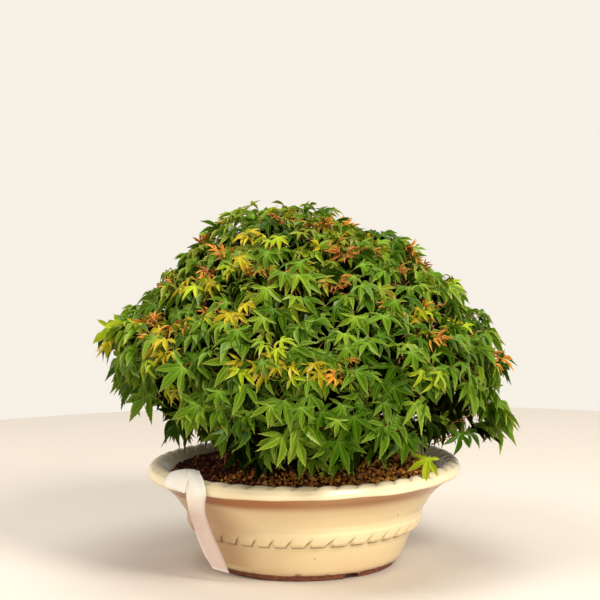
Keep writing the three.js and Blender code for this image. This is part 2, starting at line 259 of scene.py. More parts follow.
# ============================================================ materials
class Nodes:
    def __init__(self, name):
        self.mat = bpy.data.materials.new(name)
        self.mat.use_nodes = True
        self.nt = self.mat.node_tree
        self.bsdf = self.nt.nodes["Principled BSDF"]

    def new(self, kind, **inputs):
        node = self.nt.nodes.new(kind)
        for k, v in inputs.items():
            node.inputs[k.replace("_", " ")].default_value = v
        return node

    def link(self, a, b):
        self.nt.links.new(a, b)

    def number(self, name):
        node = self.nt.nodes.new("ShaderNodeAttribute")
        node.attribute_name = name
        return node.outputs["Fac"]

    def coords(self):
        return self.nt.nodes.new("ShaderNodeTexCoord").outputs["Object"]

    def noise(self, scale, detail=3.0, rough=0.55, stretch=None, vector=None):
        node = self.new("ShaderNodeTexNoise", Scale=scale, Detail=detail, Roughness=rough)
        src = vector or self.coords()
        if stretch:
            m = self.new("ShaderNodeMapping")
            m.inputs["Scale"].default_value = stretch
            self.link(src, m.inputs["Vector"])
            src = m.outputs["Vector"]
        self.link(src, node.inputs["Vector"])
        return node.outputs["Fac"]

    def ramp(self, fac, *stops):
        node = self.nt.nodes.new("ShaderNodeValToRGB")
        e = node.color_ramp.elements
        while len(e) < len(stops):
            e.new(0.5)
        for el, (pos, col) in zip(e, stops):
            el.position = pos
            el.color = (*col, 1.0) if len(col) == 3 else col
        self.link(fac, node.inputs["Fac"])
        return node.outputs["Color"]

    def mix(self, fac, a, b, blend="MIX"):
        node = self.nt.nodes.new("ShaderNodeMix")
        node.data_type = "RGBA"
        node.blend_type = blend
        for sock, v in ((node.inputs[0], fac), (node.inputs[6], a), (node.inputs[7], b)):
            if hasattr(v, "links"):
                self.link(v, sock)
            elif isinstance(v, (int, float)):
                sock.default_value = v
            else:
                sock.default_value = (*v, 1.0)
        return node.outputs[2]

    def math(self, op, a, b=0.0, clamp=False):
        node = self.nt.nodes.new("ShaderNodeMath")
        node.operation = op
        node.use_clamp = clamp
        for sock, v in ((node.inputs[0], a), (node.inputs[1], b)):
            if hasattr(v, "links"):
                self.link(v, sock)
            else:
                sock.default_value = v
        return node.outputs[0]

    def bump(self, height, distance, strength=1.0):
        node = self.new("ShaderNodeBump", Strength=strength, Distance=distance)
        self.link(height, node.inputs["Height"])
        self.link(node.outputs["Normal"], self.bsdf.inputs["Normal"])


def srgb(r, g, b):
    return tuple(((c / 255.0 + 0.055) / 1.055) ** 2.4 if c > 10 else c / 255.0 / 12.92 for c in (r, g, b))


def glaze_material():
    m = Nodes("cream_glaze")
    cream = m.mix(m.noise(22.0, 4.0), srgb(233, 210, 162), srgb(241, 221, 178))
    cream = m.mix(m.math("MULTIPLY", m.noise(160.0, 5.0, 0.7), 0.22), cream, srgb(214, 184, 128))
    # painted highlight on the lip and painted light on the shaded inner wall: the glaze is made paler there
    cream = m.mix(m.math("MINIMUM", m.number("painted_light"), 1.0), cream, srgb(248, 236, 208))
    cream = m.mix(m.math("MULTIPLY", m.math("SUBTRACT", m.number("painted_light"), 1.0, clamp=True), 2.4), cream, srgb(255, 238, 198))
    # painted shade: the glaze is darker in the grooves, under the band's ledges, under the lip, low on the wall and on
    # the left side, in part glaze pooled thick
    pooled_and_shaded = m.mix(m.number("glaze_run_and_painted_shade"), cream, srgb(156, 92, 38))
    pooled_and_shaded = m.mix(m.number("groove_pool_and_shade"), pooled_and_shaded, srgb(78, 44, 18))
    # pin specks
    cell = m.new("ShaderNodeTexVoronoi", Scale=62.0)
    m.link(m.coords(), cell.inputs["Vector"])
    size = m.noise(9.0, 2.0)
    reach = m.math("MULTIPLY", m.math("SUBTRACT", size, 0.56, clamp=True), 0.80)
    speck = m.math("LESS_THAN", cell.outputs["Distance"], reach)
    pooled_and_shaded = m.mix(m.math("MULTIPLY", speck, 0.55), pooled_and_shaded, srgb(150, 104, 60))
    # bare clay foot
    clay = m.ramp(m.noise(240.0, 6.0, 0.7), (0.30, srgb(92, 46, 30)), (0.55, srgb(140, 82, 58)), (0.75, srgb(176, 120, 92)))
    colour = m.mix(m.number("clay"), pooled_and_shaded, clay)
    m.link(colour, m.bsdf.inputs["Base Color"])
    rough = m.math("ADD", m.math("MULTIPLY", m.noise(30.0, 3.0), 0.12), 0.17)
    rough = m.math("MAXIMUM", rough, m.math("MULTIPLY", m.number("clay"), 0.82))
    m.link(rough, m.bsdf.inputs["Roughness"])
    m.bsdf.inputs["Specular IOR Level"].default_value = 0.5
    bumps = m.math("ADD", m.math("MULTIPLY", m.noise(55.0, 2.0, 0.4), 1.0),
                   m.math("MULTIPLY", m.math("MULTIPLY", m.noise(900.0, 3.0), 1.0), m.number("clay")))
    m.bump(bumps, 0.0007, 0.55)
    return m.mat


def soil_bed_material():
    m = Nodes("soil_bed_and_shade")
    # near-black: dark soil that also stands for painted shade in the gaps between the grains
    m.link(m.ramp(m.noise(420.0, 5.0, 0.7), (0.3, srgb(9, 4, 2)), (0.6, srgb(22, 10, 5)), (0.8, srgb(38, 18, 9))),
           m.bsdf.inputs["Base Color"])
    m.bsdf.inputs["Roughness"].default_value = 0.95
    m.bsdf.inputs["Specular IOR Level"].default_value = 0.15
    m.bump(m.noise(520.0, 4.0, 0.7), 0.0012, 0.9)
    return m.mat


def grain_material(name, dark, light):
    m = Nodes(name)
    m.link(m.ramp(m.noise(600.0, 4.0, 0.65), (0.32, dark), (0.68, light)), m.bsdf.inputs["Base Color"])
    m.bsdf.inputs["Roughness"].default_value = 0.9
    m.bsdf.inputs["Specular IOR Level"].default_value = 0.2
    m.bump(m.noise(1500.0, 3.0), 0.0003, 0.6)
    return m.mat


def bark_material(name, dark, mid, light, scale=1.0):
    m = Nodes(name)
    streak = m.noise(95.0 * scale, 6.0, 0.65, stretch=(1.0, 1.0, 0.28))
    colour = m.ramp(streak, (0.28, dark), (0.52, mid), (0.74, light))
    # painted shade: the bark is painted darker in its furrows, and a little darker on the limbs and branches
    colour = m.mix(m.number("furrow"), colour, dark)
    m.link(colour, m.bsdf.inputs["Base Color"])
    m.bsdf.inputs["Roughness"].default_value = 0.82
    m.bsdf.inputs["Specular IOR Level"].default_value = 0.25
    m.bump(m.noise(260.0 * scale, 5.0, 0.7, stretch=(1.0, 1.0, 0.35)), 0.0008, 0.8)
    return m.mat


def twig_material():
    m = Nodes("twig_bark")
    m.link(m.ramp(m.noise(260.0, 3.0), (0.3, srgb(120, 70, 38)), (0.55, srgb(172, 116, 66)), (0.8, srgb(206, 156, 98))),
           m.bsdf.inputs["Base Color"])
    m.bsdf.inputs["Roughness"].default_value = 0.6
    m.bump(m.noise(900.0, 2.0), 0.0002, 0.5)
    return m.mat


def leaf_material(name, deep, base, rib, tip, edge, margin_share=0.42, shine=0.17, glow=0.15):
    m = Nodes(name)
    tone = m.number("tone")
    colour = m.mix(tone, deep, base)
    colour = m.mix(m.math("MULTIPLY", m.noise(260.0, 3.0, 0.6), 0.25), colour, deep)
    vein = m.math("POWER", m.number("rib"), 7.0)
    colour = m.mix(m.math("MULTIPLY", vein, 0.70), colour, rib)
    # the margins are painted paler: in part a pale edge, in part a painted highlight
    margin_sheen = m.math("POWER", m.math("SUBTRACT", 1.0, m.number("rib"), clamp=True), 5.0)
    colour = m.mix(m.math("MULTIPLY", margin_sheen, margin_share), colour, edge)
    colour = m.mix(m.math("MULTIPLY", m.math("POWER", m.number("end"), 3.0), 0.80), colour, tip)
    m.link(colour, m.bsdf.inputs["Base Color"])
    m.bsdf.inputs["Roughness"].default_value = 0.37 if shine > 0.1 else 0.7
    m.bsdf.inputs["Specular IOR Level"].default_value = shine
    m.bump(m.noise(700.0, 2.0, 0.5), 0.0003, 0.35)
    through = m.new("ShaderNodeBsdfTranslucent")
    m.link(m.mix(1.0, colour, (1.0, 0.95, 0.45), "MULTIPLY"), through.inputs["Color"])
    both = m.nt.nodes.new("ShaderNodeMixShader")
    both.inputs[0].default_value = glow
    out = m.nt.nodes["Material Output"]
    m.link(m.bsdf.outputs[0], both.inputs[1])
    m.link(through.outputs[0], both.inputs[2])
    m.link(both.outputs[0], out.inputs["Surface"])
    return m.mat


def paper_material():
    m = Nodes("plain_paper")
    colour = m.mix(m.noise(120.0, 5.0, 0.6), srgb(240, 233, 220), srgb(252, 248, 238))
    # painted shade: the strip is painted darker and pinker towards its lower end
    colour = m.mix(m.number("tag_low_shade"), colour, m.mix(m.noise(70.0, 4.0, 0.6), srgb(212, 190, 178), srgb(228, 208, 198)))
    m.link(colour, m.bsdf.inputs["Base Color"])
    m.bsdf.inputs["Roughness"].default_value = 0.7
    m.bsdf.inputs["Specular IOR Level"].default_value = 0.3
    m.bump(m.noise(900.0, 4.0), 0.0002, 0.3)
    return m.mat


# ============================================================ pot
POT_SIDES = 736
RIM_TWISTS = 46
BAND_TWISTS = 38
BAND_LOW, BAND_HIGH = 31.0, 46.6
NOTCHES = (-60.0, 60.0, 180.0)


def pot_profile():
    """(radius, height) along the pot's wall, from under the foot, up the outside,
    over the lip and down the inside, with the rows packed where there is relief."""
    rows = []

    def run(points, count, skip_first=True):
        line = even(catmull(points, np.linspace(0, 1, 60)), count)
        rows.extend(line[1:] if skip_first and rows else line)

    run([(0.4, 3.4), (30, 3.3), (55.5, 3.2)], 3)
    run([(55.5, 3.2), (57.0, 2.2), (58.2, 0.5), (59.4, 0.0)], 5)
    run([(59.4, 0.0), (65, 0.0), (70.2, 0.0)], 3)
    run([(70.2, 0.0), (71.6, 0.5), (72.2, 2.2), (72.6, 4.2), (74.2, 5.0), (76.4, 5.7)], 10)
    run([(76.4, 5.7), (78.4, 8.8), (80.2, 13.6), (82.4, 19.0), (84.9, 24.4)], 7)
    run([(84.9, 24.4), (86.7, 27.8), (88.4, BAND_LOW)], 8)
    run([(88.4, BAND_LOW), (90.2, 35.0), (91.7, 39.0), (93.5, 43.2), (95.8, BAND_HIGH)], 38)
    run([(95.8, BAND_HIGH), (98.0, 49.8), (100.2, 53.2), (102.6, 56.8), (106.2, 61.0), (111.5, 66.2), (117.8, 70.6), (121.8, 73.0)], 15)
    run([(121.8, 73.0), (123.9, 73.5), (124.9, 74.5)], 5)
    run([(124.9, 74.5), (125.5, 76.4), (125.3, 78.3)], 5)
    run([(125.3, 78.3), (123.9, 81.2), (121.6, 83.0), (118.6, 83.7), (115.6, 83.1), (113.0, 81.2), (111.6, 79.6)], 30)
    run([(111.6, 79.6), (109.2, 77.6), (106.6, 75.6), (103.8, 72.6), (99.5, 66.6)], 8)
    run([(99.5, 66.6), (94.0, 56.0), (88.0, 44.0), (82.0, 28.0), (74.0, 15.0), (60.0, 11.0), (0.4, 11.0)], 8)
    return np.array(rows)


def lobes(fr, skew=0.72):
    return np.sin(math.pi * np.clip(fr, 0, 1) ** skew) ** 0.62


def make_pot():
    prof = pot_profile()
    n = len(prof)
    k = POT_SIDES
    th = np.linspace(0, 2 * math.pi, k, endpoint=False)
    r0, z0 = prof[:, 0][:, None], prof[:, 1][:, None]
    t = np.gradient(prof, axis=0)
    t = t / np.linalg.norm(t, axis=1, keepdims=True)
    nr, nz = t[:, 1][:, None], -t[:, 0][:, None]           # outward, since the rows climb the outside
    s = np.concatenate([[0], np.cumsum(np.linalg.norm(np.diff(prof, axis=0), axis=1))])[:, None]
    T = th[None, :] * np.ones((n, 1))
    move = np.zeros((n, k))
    groove_pool_and_shade = np.zeros((n, k))

    # ---- twisted band round the body: the wall above laps over the wall below in slanted strands
    climbing = s < s[np.argmax(prof[:, 0])]
    on = (z0 > BAND_LOW - 3.2) & (z0 < BAND_HIGH + 0.01) & climbing
    high = (z0 - BAND_LOW) * np.ones((n, k))
    pitch = 2 * math.pi * 92.5 / BAND_TWISTS
    wobble = 0.10 * np.sin(3 * T + 0.4) + 0.07 * np.sin(7 * T)
    phase = (T * BAND_TWISTS / (2 * math.pi) + wobble) % 1.0
    strand = np.floor(T * BAND_TWISTS / (2 * math.pi) + wobble)
    uneven = np.sin(strand * 12.9898) * 0.5 + 0.5            # each strand a little different
    full = np.interp(high, (0, 0.35, 0.9, 1.8, 3.4, 6.0, 9.0, 12.0, 14.0, 15.6), (0, 1.5, 2.3, 2.75, 3.1, 3.1, 2.7, 1.5, 0.6, 0))
    eased = np.interp(high, (-1.8, -0.4, 1.2, 3.0, 5.0, 9.0, 12.0, 14.0, 15.6), (0, 0.35, 1.25, 2.2, 2.8, 2.65, 1.5, 0.6, 0))
    gap = smoothstep(phase, 0.60, 0.72) * (1 - smoothstep(phase, 0.93, 1.0))
    bead = full * (1 - gap) + eased * gap

    def seg_distance(px, pz, ax, az, bx, bz):
        dx, dz = bx - ax, bz - az
        w = np.clip(((px - ax) * dx + (pz - az) * dz) / (dx * dx + dz * dz), 0, 1)
        return np.hypot(px - ax - w * dx, pz - az - w * dz), w

    # painted shadow: a dark line on the wall just under each strand's ledge and along each slanted cut, beside a
    # shallow real dip
    dip = np.zeros((n, k))
    dark = np.zeros((n, k))
    for shift in (-1.0, 0.0, 1.0):
        px = (phase + shift) * pitch
        d1, w1 = seg_distance(px, high, 0.0, -0.75 + 0.2 * uneven, 0.60 * pitch, -0.7)
        line = np.exp(-(d1 / 1.0) ** 2) * (1 - 0.35 * smoothstep(w1, 0.8, 1.0))
        d2, w2 = seg_distance(px, high, 0.60 * pitch, 0.0, 1.03 * pitch, 7.6 + uneven)
        slash = np.exp(-(d2 / 0.56) ** 2) * (1 - 0.80 * smoothstep(w2, 0.5, 1.0))
        over = px - (0.60 * pitch + (high - 0.4) / 8.3 * 0.43 * pitch)      # how far right of the slash
        behind = np.where((over > 0) & (high > 0.4) & (high < 9.5), np.exp(-over / 2.6), 0.0) * (1 - smoothstep(high, 5.0, 9.5))
        dip = np.maximum(dip, np.maximum(line * 0.35, slash * 0.6))
        dark = np.maximum(dark, np.maximum(line, slash * 0.92))
        bead = bead - behind * 0.35
    swell = 0.30 * np.sin(math.pi * ((phase - 0.05) % 1.0)) * np.sin(math.pi * np.clip(high / 15.6, 0, 1)) ** 2
    move += np.where(on, bead + swell - dip, 0.0)
    groove_pool_and_shade = np.maximum(groove_pool_and_shade, np.where(on, dark, 0.0))

    # ---- rope twist on the lip: u runs from the outside (0) over the crest to the inside (1)
    i0 = int(np.argmin(np.hypot(prof[:, 0] - 125.3, prof[:, 1] - 78.3)))
    i1 = int(np.argmin(np.hypot(prof[:, 0] - 111.6, prof[:, 1] - 79.6)))
    u = np.clip((s - s[i0]) / (s[i1] - s[i0]), -1, 2)
    on = (u > -0.001) & (u < 1.001)
    wob = 0.12 * np.sin(2 * T + 1.1) + 0.08 * np.sin(5 * T + 0.3)
    fr = (T * RIM_TWISTS / (2 * math.pi) + wob - 0.62 * u + 0.35) % 1.0
    mask = smoothstep(u, 0.20, 0.46) * (1 - smoothstep(u, 0.72, 1.0))
    lobe = lobes(fr)
    edge = np.minimum(fr, 1 - fr) * (2 * math.pi * 119 / RIM_TWISTS)
    depth = -1.5 * (1 - lobe) * mask + 0.25 * lobe * mask
    vary = 0.75 + 0.25 * np.sin(T * 13.0 + 0.7) * np.sin(T * 5.0)
    slit = np.exp(-(edge / 0.60) ** 2) * smoothstep(u, 0.17, 0.25) * (1 - smoothstep(u, 0.36, 0.46)) * vary
    inner = np.exp(-(edge / 0.6) ** 2) * smoothstep(u, 0.58, 0.70) * (1 - smoothstep(u, 0.84, 0.98)) * vary
    move += np.where(on, depth - 0.55 * slit - 0.6 * inner, 0.0)
    # painted shade in the rope's slits and valleys
    groove_pool_and_shade = np.maximum(groove_pool_and_shade, np.where(on, np.maximum(slit * 0.55, inner * 0.55), 0.0))
    groove_pool_and_shade = np.maximum(groove_pool_and_shade, np.where(on, 0.10 * (1 - lobe) * mask, 0.0))

    # ---- thrown and hand-finished unevenness
    slow = 0.22 * np.sin(2 * T + 0.8) + 0.14 * np.sin(3 * T + 2.0) + 0.08 * np.sin(5 * T + z0 * 0.05)
    rings = 0.06 * np.sin(z0 * 1.9 + 1.4 * np.sin(T))
    outside = smoothstep(z0, 6, 14)
    move += (slow + rings) * outside
    # the lip's lower edge wavers a little
    lip = np.exp(-(np.hypot(r0 - 124.4, z0 - 74.2) / 2.2) ** 2)
    move += lip * (0.45 * np.sin(9 * T + 0.5) * np.sin(2 * T) + 0.25 * np.sin(17 * T))

    R = r0 + nr * move
    Z = z0 + nz * move

    # ---- the foot: three notches and chipped edges
    clay = np.where(z0 < 7.5, 1.0, 0.0) * np.ones((n, k))
    deg = np.degrees(T)
    foot = (z0 < 6.4) & (r0 > 55.6) & (s < s[i0])
    for at in NOTCHES:
        off = np.abs((deg - at + 540) % 360 - 180) * math.pi / 180 * 71.5
        up = (1 - smoothstep(off, 5.0, 7.2))
        Z = np.where(foot, np.maximum(Z, up * 3.9), Z)
    chips = np.zeros((n, k))
    rnd = np.random.default_rng(31)
    for _ in range(26):
        at, wide, tall = rnd.uniform(-180, 180), rnd.uniform(1.5, 5.5), rnd.uniform(0.3, 1.1)
        off = np.abs((deg - at + 540) % 360 - 180) * math.pi / 180 * 71.5
        chips = np.maximum(chips, tall * np.exp(-(off / wide) ** 2))
    edge_row = (z0 < 0.8) & (r0 > 69.5) & (s < s[i0])
    Z = np.where(edge_row, np.maximum(Z, chips), Z)
    R = np.where(edge_row, R - chips * 0.6, R)
    # the glaze line wanders round the foot
    wander = 0.55 * np.sin(11 * T) * np.sin(3 * T + 1) + 0.35 * np.sin(23 * T + 2) + 0.3 * np.sin(41 * T)
    clay = 1 - smoothstep(z0 - 5.1 - wander, -0.25, 0.25)
    clay = np.where((s < s[i0]), clay, 0.0)
    clay = np.where((r0 < 99) & (s > s[i1]), 1.0, clay)

    # amber painted shade under the lip, in part glaze run thick: sharp at the lip's edge, fading down the wall; painted
    # shade also low on the wall and on the left side
    corner = s[int(np.argmin(np.hypot(prof[:, 0] - 124.2, prof[:, 1] - 73.7)))]
    below = corner - s
    under = smoothstep(below, -0.3, 0.5) * (1 - 0.80 * smoothstep(below, 13.0, 25.0)) * (1 - smoothstep(below, 20.0, 40.0))
    glaze_run_and_painted_shade = under * (s < s[i0]) * np.ones((n, k)) + 0.20 * (1 - smoothstep(z0, 6, 30)) * (s < s[i0])
    # painted shade on the left side of the pot, away from the key light
    brown = smoothstep(-np.cos(T - math.radians(8)), 0.42, 0.86) * (below > 4) * (s < s[i0]) * smoothstep(z0, 6, 12)
    glaze_run_and_painted_shade = np.maximum(glaze_run_and_painted_shade, 0.54 * brown)
    glaze_run_and_painted_shade = np.clip(glaze_run_and_painted_shade * (0.97 + 0.08 * np.sin(6 * T + 1) - 0.20 * np.cos(T)), 0, 1)

    painted_light = 0.42 * smoothstep(z0, 73, 76) * np.ones((n, k))           # painted highlight: the glaze is painted palest on the lip
    # painted light on the inner wall, which lies in the crown's shade, most at the left and right sides
    inside = smoothstep(118.5 - r0, 0, 4) * (s > corner) * (z0 > 50)
    painted_light = np.maximum(painted_light, inside * (0.5 + 0.9 * smoothstep(np.abs(np.cos(T)), 0.45, 0.8)))

    co = np.stack([R * np.cos(T), R * np.sin(T), Z], -1).reshape(-1, 3)
    i = np.arange(n - 1)[:, None] * k
    j = np.arange(k)[None]
    j2 = (j + 1) % k
    quads = np.stack([i + j, i + j2, i + k + j2, i + k + j], -1).reshape(-1, 4)
    heap = Heap("groove_pool_and_shade", "glaze_run_and_painted_shade", "clay", "painted_light")
    # close the two small centres
    base, top = len(co), len(co) + 1
    co = np.concatenate([co, [[0, 0, 3.4]], [[0, 0, 11.0]]])
    tris = [(base, (q + 1) % k, q) for q in range(k)] + [(top, (n - 1) * k + q, (n - 1) * k + (q + 1) % k) for q in range(k)]
    add2 = lambda a: np.concatenate([a.reshape(-1), [0, 0]])
    heap.add(co, tris, quads, groove_pool_and_shade=add2(groove_pool_and_shade), glaze_run_and_painted_shade=add2(glaze_run_and_painted_shade), clay=add2(clay), painted_light=add2(painted_light))
    ob = heap.piece("pot_glazed", [glaze_material()])
    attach(ob, "root")
    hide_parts("pot")


# ============================================================ soil
def soil_height(r):
    return np.interp(r, [0, 33, 48, 66, 88, 106], [88.4, 88.4, 87.2, 84.2, 80.2, 75.4])


def make_soil():
    heap = Heap()
    rs = np.array([0.3, 12, 24, 36, 48, 60, 70, 80, 88, 94, 99, 103, 106.2])
    k = 96
    th = np.linspace(0, 2 * math.pi, k, endpoint=False)
    co = []
    for r in rs:
        for a in th:
            x, y = r * math.cos(a), r * math.sin(a)
            z = float(soil_height(r)) - 0.9 + 0.8 * noise.noise(Vector((x, y, 3.0)) * 0.11)
            co.append((x, y, z))
    # the bed's underside closes it inside the pot
    for r, z in ((100.6, 66.0), (0.3, 62.0)):
        for a in th:
            co.append((r * math.cos(a), r * math.sin(a), z))
    n = len(rs) + 2
    i = np.arange(n - 1)[:, None] * k
    j = np.arange(k)[None]
    j2 = (j + 1) % k
    quads = np.stack([i + j, i + k + j, i + k + j2, i + j2], -1).reshape(-1, 4)
    tris = [(len(co), q, (q + 1) % k) for q in range(k)]
    tris += [(len(co) + 1, (n - 1) * k + (q + 1) % k, (n - 1) * k + q) for q in range(k)]
    co += [(0, 0, co[0][2]), (0, 0, 62.0)]
    heap.add(co, tris, quads)
    bed = heap.piece("soil_bed_and_shade", [soil_bed_material()])
    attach(bed, "root")
    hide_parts("soil")

    # grains of baked clay, 1.5 to 4 mm
    rnd = np.random.default_rng(77)
    phi = (1 + 5 ** 0.5) / 2
    ico = unit(np.array([(-1, phi, 0), (1, phi, 0), (-1, -phi, 0), (1, -phi, 0), (0, -1, phi), (0, 1, phi), (0, -1, -phi),
                         (0, 1, -phi), (phi, 0, -1), (phi, 0, 1), (-phi, 0, -1), (-phi, 0, 1)], float))
    faces = np.array([(0, 11, 5), (0, 5, 1), (0, 1, 7), (0, 7, 10), (0, 10, 11), (1, 5, 9), (5, 11, 4), (11, 10, 2),
                      (10, 7, 6), (7, 1, 8), (3, 9, 4), (3, 4, 2), (3, 2, 6), (3, 6, 8), (3, 8, 9), (4, 9, 5), (2, 4, 11),
                      (6, 2, 10), (8, 6, 7), (9, 8, 1)])
    kinds = {
        "soil_grains_dark": (grain_material("grain_dark", srgb(44, 22, 12), srgb(92, 48, 28)), Heap()),
        "soil_grains_brown": (grain_material("grain_brown", srgb(124, 62, 30), srgb(190, 110, 58)), Heap()),
        "soil_grains_tan": (grain_material("grain_tan", srgb(216, 130, 40), srgb(252, 186, 88)), Heap()),
        "soil_grains_pale": (grain_material("grain_pale", srgb(236, 166, 74), srgb(255, 212, 122)), Heap()),
    }
    step = 2.6
    spots = []
    rows = int(106 / (step * 0.87)) + 1
    for a in range(-rows, rows + 1):
        for b in range(-50, 51):
            x = (b + 0.5 * (a % 2)) * step + rnd.uniform(-0.8, 0.8)
            y = a * step * 0.87 + rnd.uniform(-0.8, 0.8)
            r = math.hypot(x, y)
            if r < 105.4 and (r > 52 or rnd.random() < 0.45):
                spots.append((x, y, r))
    for x, y, r in spots:
        size = rnd.lognormal(0.14, 0.28)
        size = min(max(size, 0.7), 1.9)
        q = rnd.normal(size=(3, 3))
        q, _ = np.linalg.qr(q)
        shape = ico * (1 + 0.22 * rnd.standard_normal(12)[:, None].clip(-1.2, 1.2)) * rnd.uniform(0.72, 1.2, 3)
        z = float(soil_height(r)) + rnd.uniform(-0.8, 1.6) + 0.8 * noise.noise(Vector((x, y, 3.0)) * 0.11)
        # painted light: lighter grains towards the front right, where the light falls, darker ones to the left and back
        lit_side = float(np.clip(0.52 + 0.0050 * x - 0.0040 * y + 0.24 * noise.noise(Vector((x, y, 0.0)) * 0.035), 0.08, 0.97))
        pick = rnd.random()
        if pick < 0.20 + 0.76 * (1 - lit_side):
            kind = "soil_grains_dark"
        elif pick < 0.20 + 0.76 * (1 - lit_side) + 0.24:
            kind = "soil_grains_brown"
        elif lit_side < 0.42:
            kind = "soil_grains_brown"
        elif rnd.random() < 0.84:
            kind = "soil_grains_tan"
        else:
            kind = "soil_grains_pale"
        kinds[kind][1].add(shape @ q * size + (x, y, z), faces)
    for name, (mat, heap) in kinds.items():
        ob = heap.piece(name, [mat], smooth=False)
        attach(ob, "root")


# ============================================================ the plant's plan
# The same rules as the solids: trunk line, crown outline, masses and limbs.
SOIL_TOP = 89.0
TRUNK_BASE_Z, TRUNK_TIP_Z = 89.35, 214.0
TRUNK_BASE_R, TRUNK_TIP_R = 15.5, 3.2
TRUNK_PTS = [(x, y, TRUNK_BASE_Z + (TRUNK_TIP_Z - TRUNK_BASE_Z) * i / 4)
             for i, (x, y) in enumerate(zip((-13, -15, -11, -5, -3), (2, 0, 3, 1, 0)))]
PROFILE = np.array([(92, 154), (112, 162), (150, 165), (184, 163.5), (196, 155), (208, 139), (226, 124), (244, 104),
                    (262, 86), (275, 68), (285, 44), (290.5, 4)], float)
SHIFT_X = 0.6
TIERS = (("top", 1, 250, 0.0, 0), ("upper", 5, 222, 0.56, 54), ("middle", 8, 171, 0.73, 22.5), ("lower", 8, 121, 0.76, 0))
LIMBS = {"upper": (146, 172, 4.6, 2.6, 10), "middle": (120, 146, 5.0, 2.7, 12), "lower": (101, 119, 4.8, 2.5, 9)}


def towards(az, at, spread):
    off = np.abs(((np.asarray(az, float) - at + 540) % 360) - 180)
    return np.where(off >= spread, 0.0, 0.5 + 0.5 * np.cos(math.pi * np.minimum(off, spread) / spread))


def crown_radius(az, z):
    z = np.asarray(z, float)
    low = smoothstep(126 - z, 0, 10)
    share = 1 - 0.3 * low * towards(az, 180, 85) - 0.12 * low * towards(az, -90, 70) - 0.10 * low * towards(az, 90, 70)
    share = share + 0.075 * towards(az, 0, 55) * smoothstep(118 - z, 0, 20)
    share = share + 0.022 * towards(az, 180, 60) * smoothstep(45 - np.abs(z - 172), 0, 25)
    return np.interp(z, PROFILE[:, 0], PROFILE[:, 1]) * share


def trunk_at(z):
    return catmull(TRUNK_PTS, [(z - TRUNK_BASE_Z) / (TRUNK_TIP_Z - TRUNK_BASE_Z)])[0]


def plan_masses():
    out = []
    for tier, count, z, reach, start in TIERS:
        for i in range(count):
            az = start + 360.0 / count * i
            h = z + (5 * math.sin(i * 2.4 + count) if count > 1 else 0)
            d = reach * float(crown_radius(az if az <= 180 else az - 360, h - (6 if tier == "lower" else 0)))
            out.append(dict(tier=tier, index=i, name=f"mass_{tier}_{i + 1}" if count > 1 else f"mass_{tier}",
                            at=np.array([SHIFT_X + d * math.cos(math.radians(az)), d * math.sin(math.radians(az)), h])))
    return out


MASSES = plan_masses()


def limb_path(n, mass):
    low, high, root, tip, rise = LIMBS[mass["tier"]]
    share = ((mass["index"] * 3) % 8) / 7
    a = trunk_at(low + (high - low) * share)
    b = mass["at"]
    side = unit(np.array([-(b - a)[1], (b - a)[0], 0.0]))
    sway = 3.5 * math.sin(2.1 * n + 0.7)
    pts = [a, a + (b - a) * 0.3 + side * sway + (0, 0, rise * 0.55), a + (b - a) * 0.62 - side * sway * 0.6 + (0, 0, rise), b]
    return even(catmull(pts, np.linspace(0, 1, 80)), 60), root, tip


def bark_relief(seed, depth=0.10, ridges=7, long=16.0):
    def relief(p, ang, radii):
        out = np.ones((len(p), len(ang)))
        s = np.concatenate([[0], np.cumsum(np.linalg.norm(np.diff(p, axis=0), axis=1))])
        for i in range(len(p)):
            for j, a in enumerate(ang):
                v = Vector((math.cos(a) * ridges * 0.32, math.sin(a) * ridges * 0.32, s[i] / long + seed))
                out[i, j] += depth * noise.fractal(v, 0.8, 2.1, 4)
        return out
    return relief


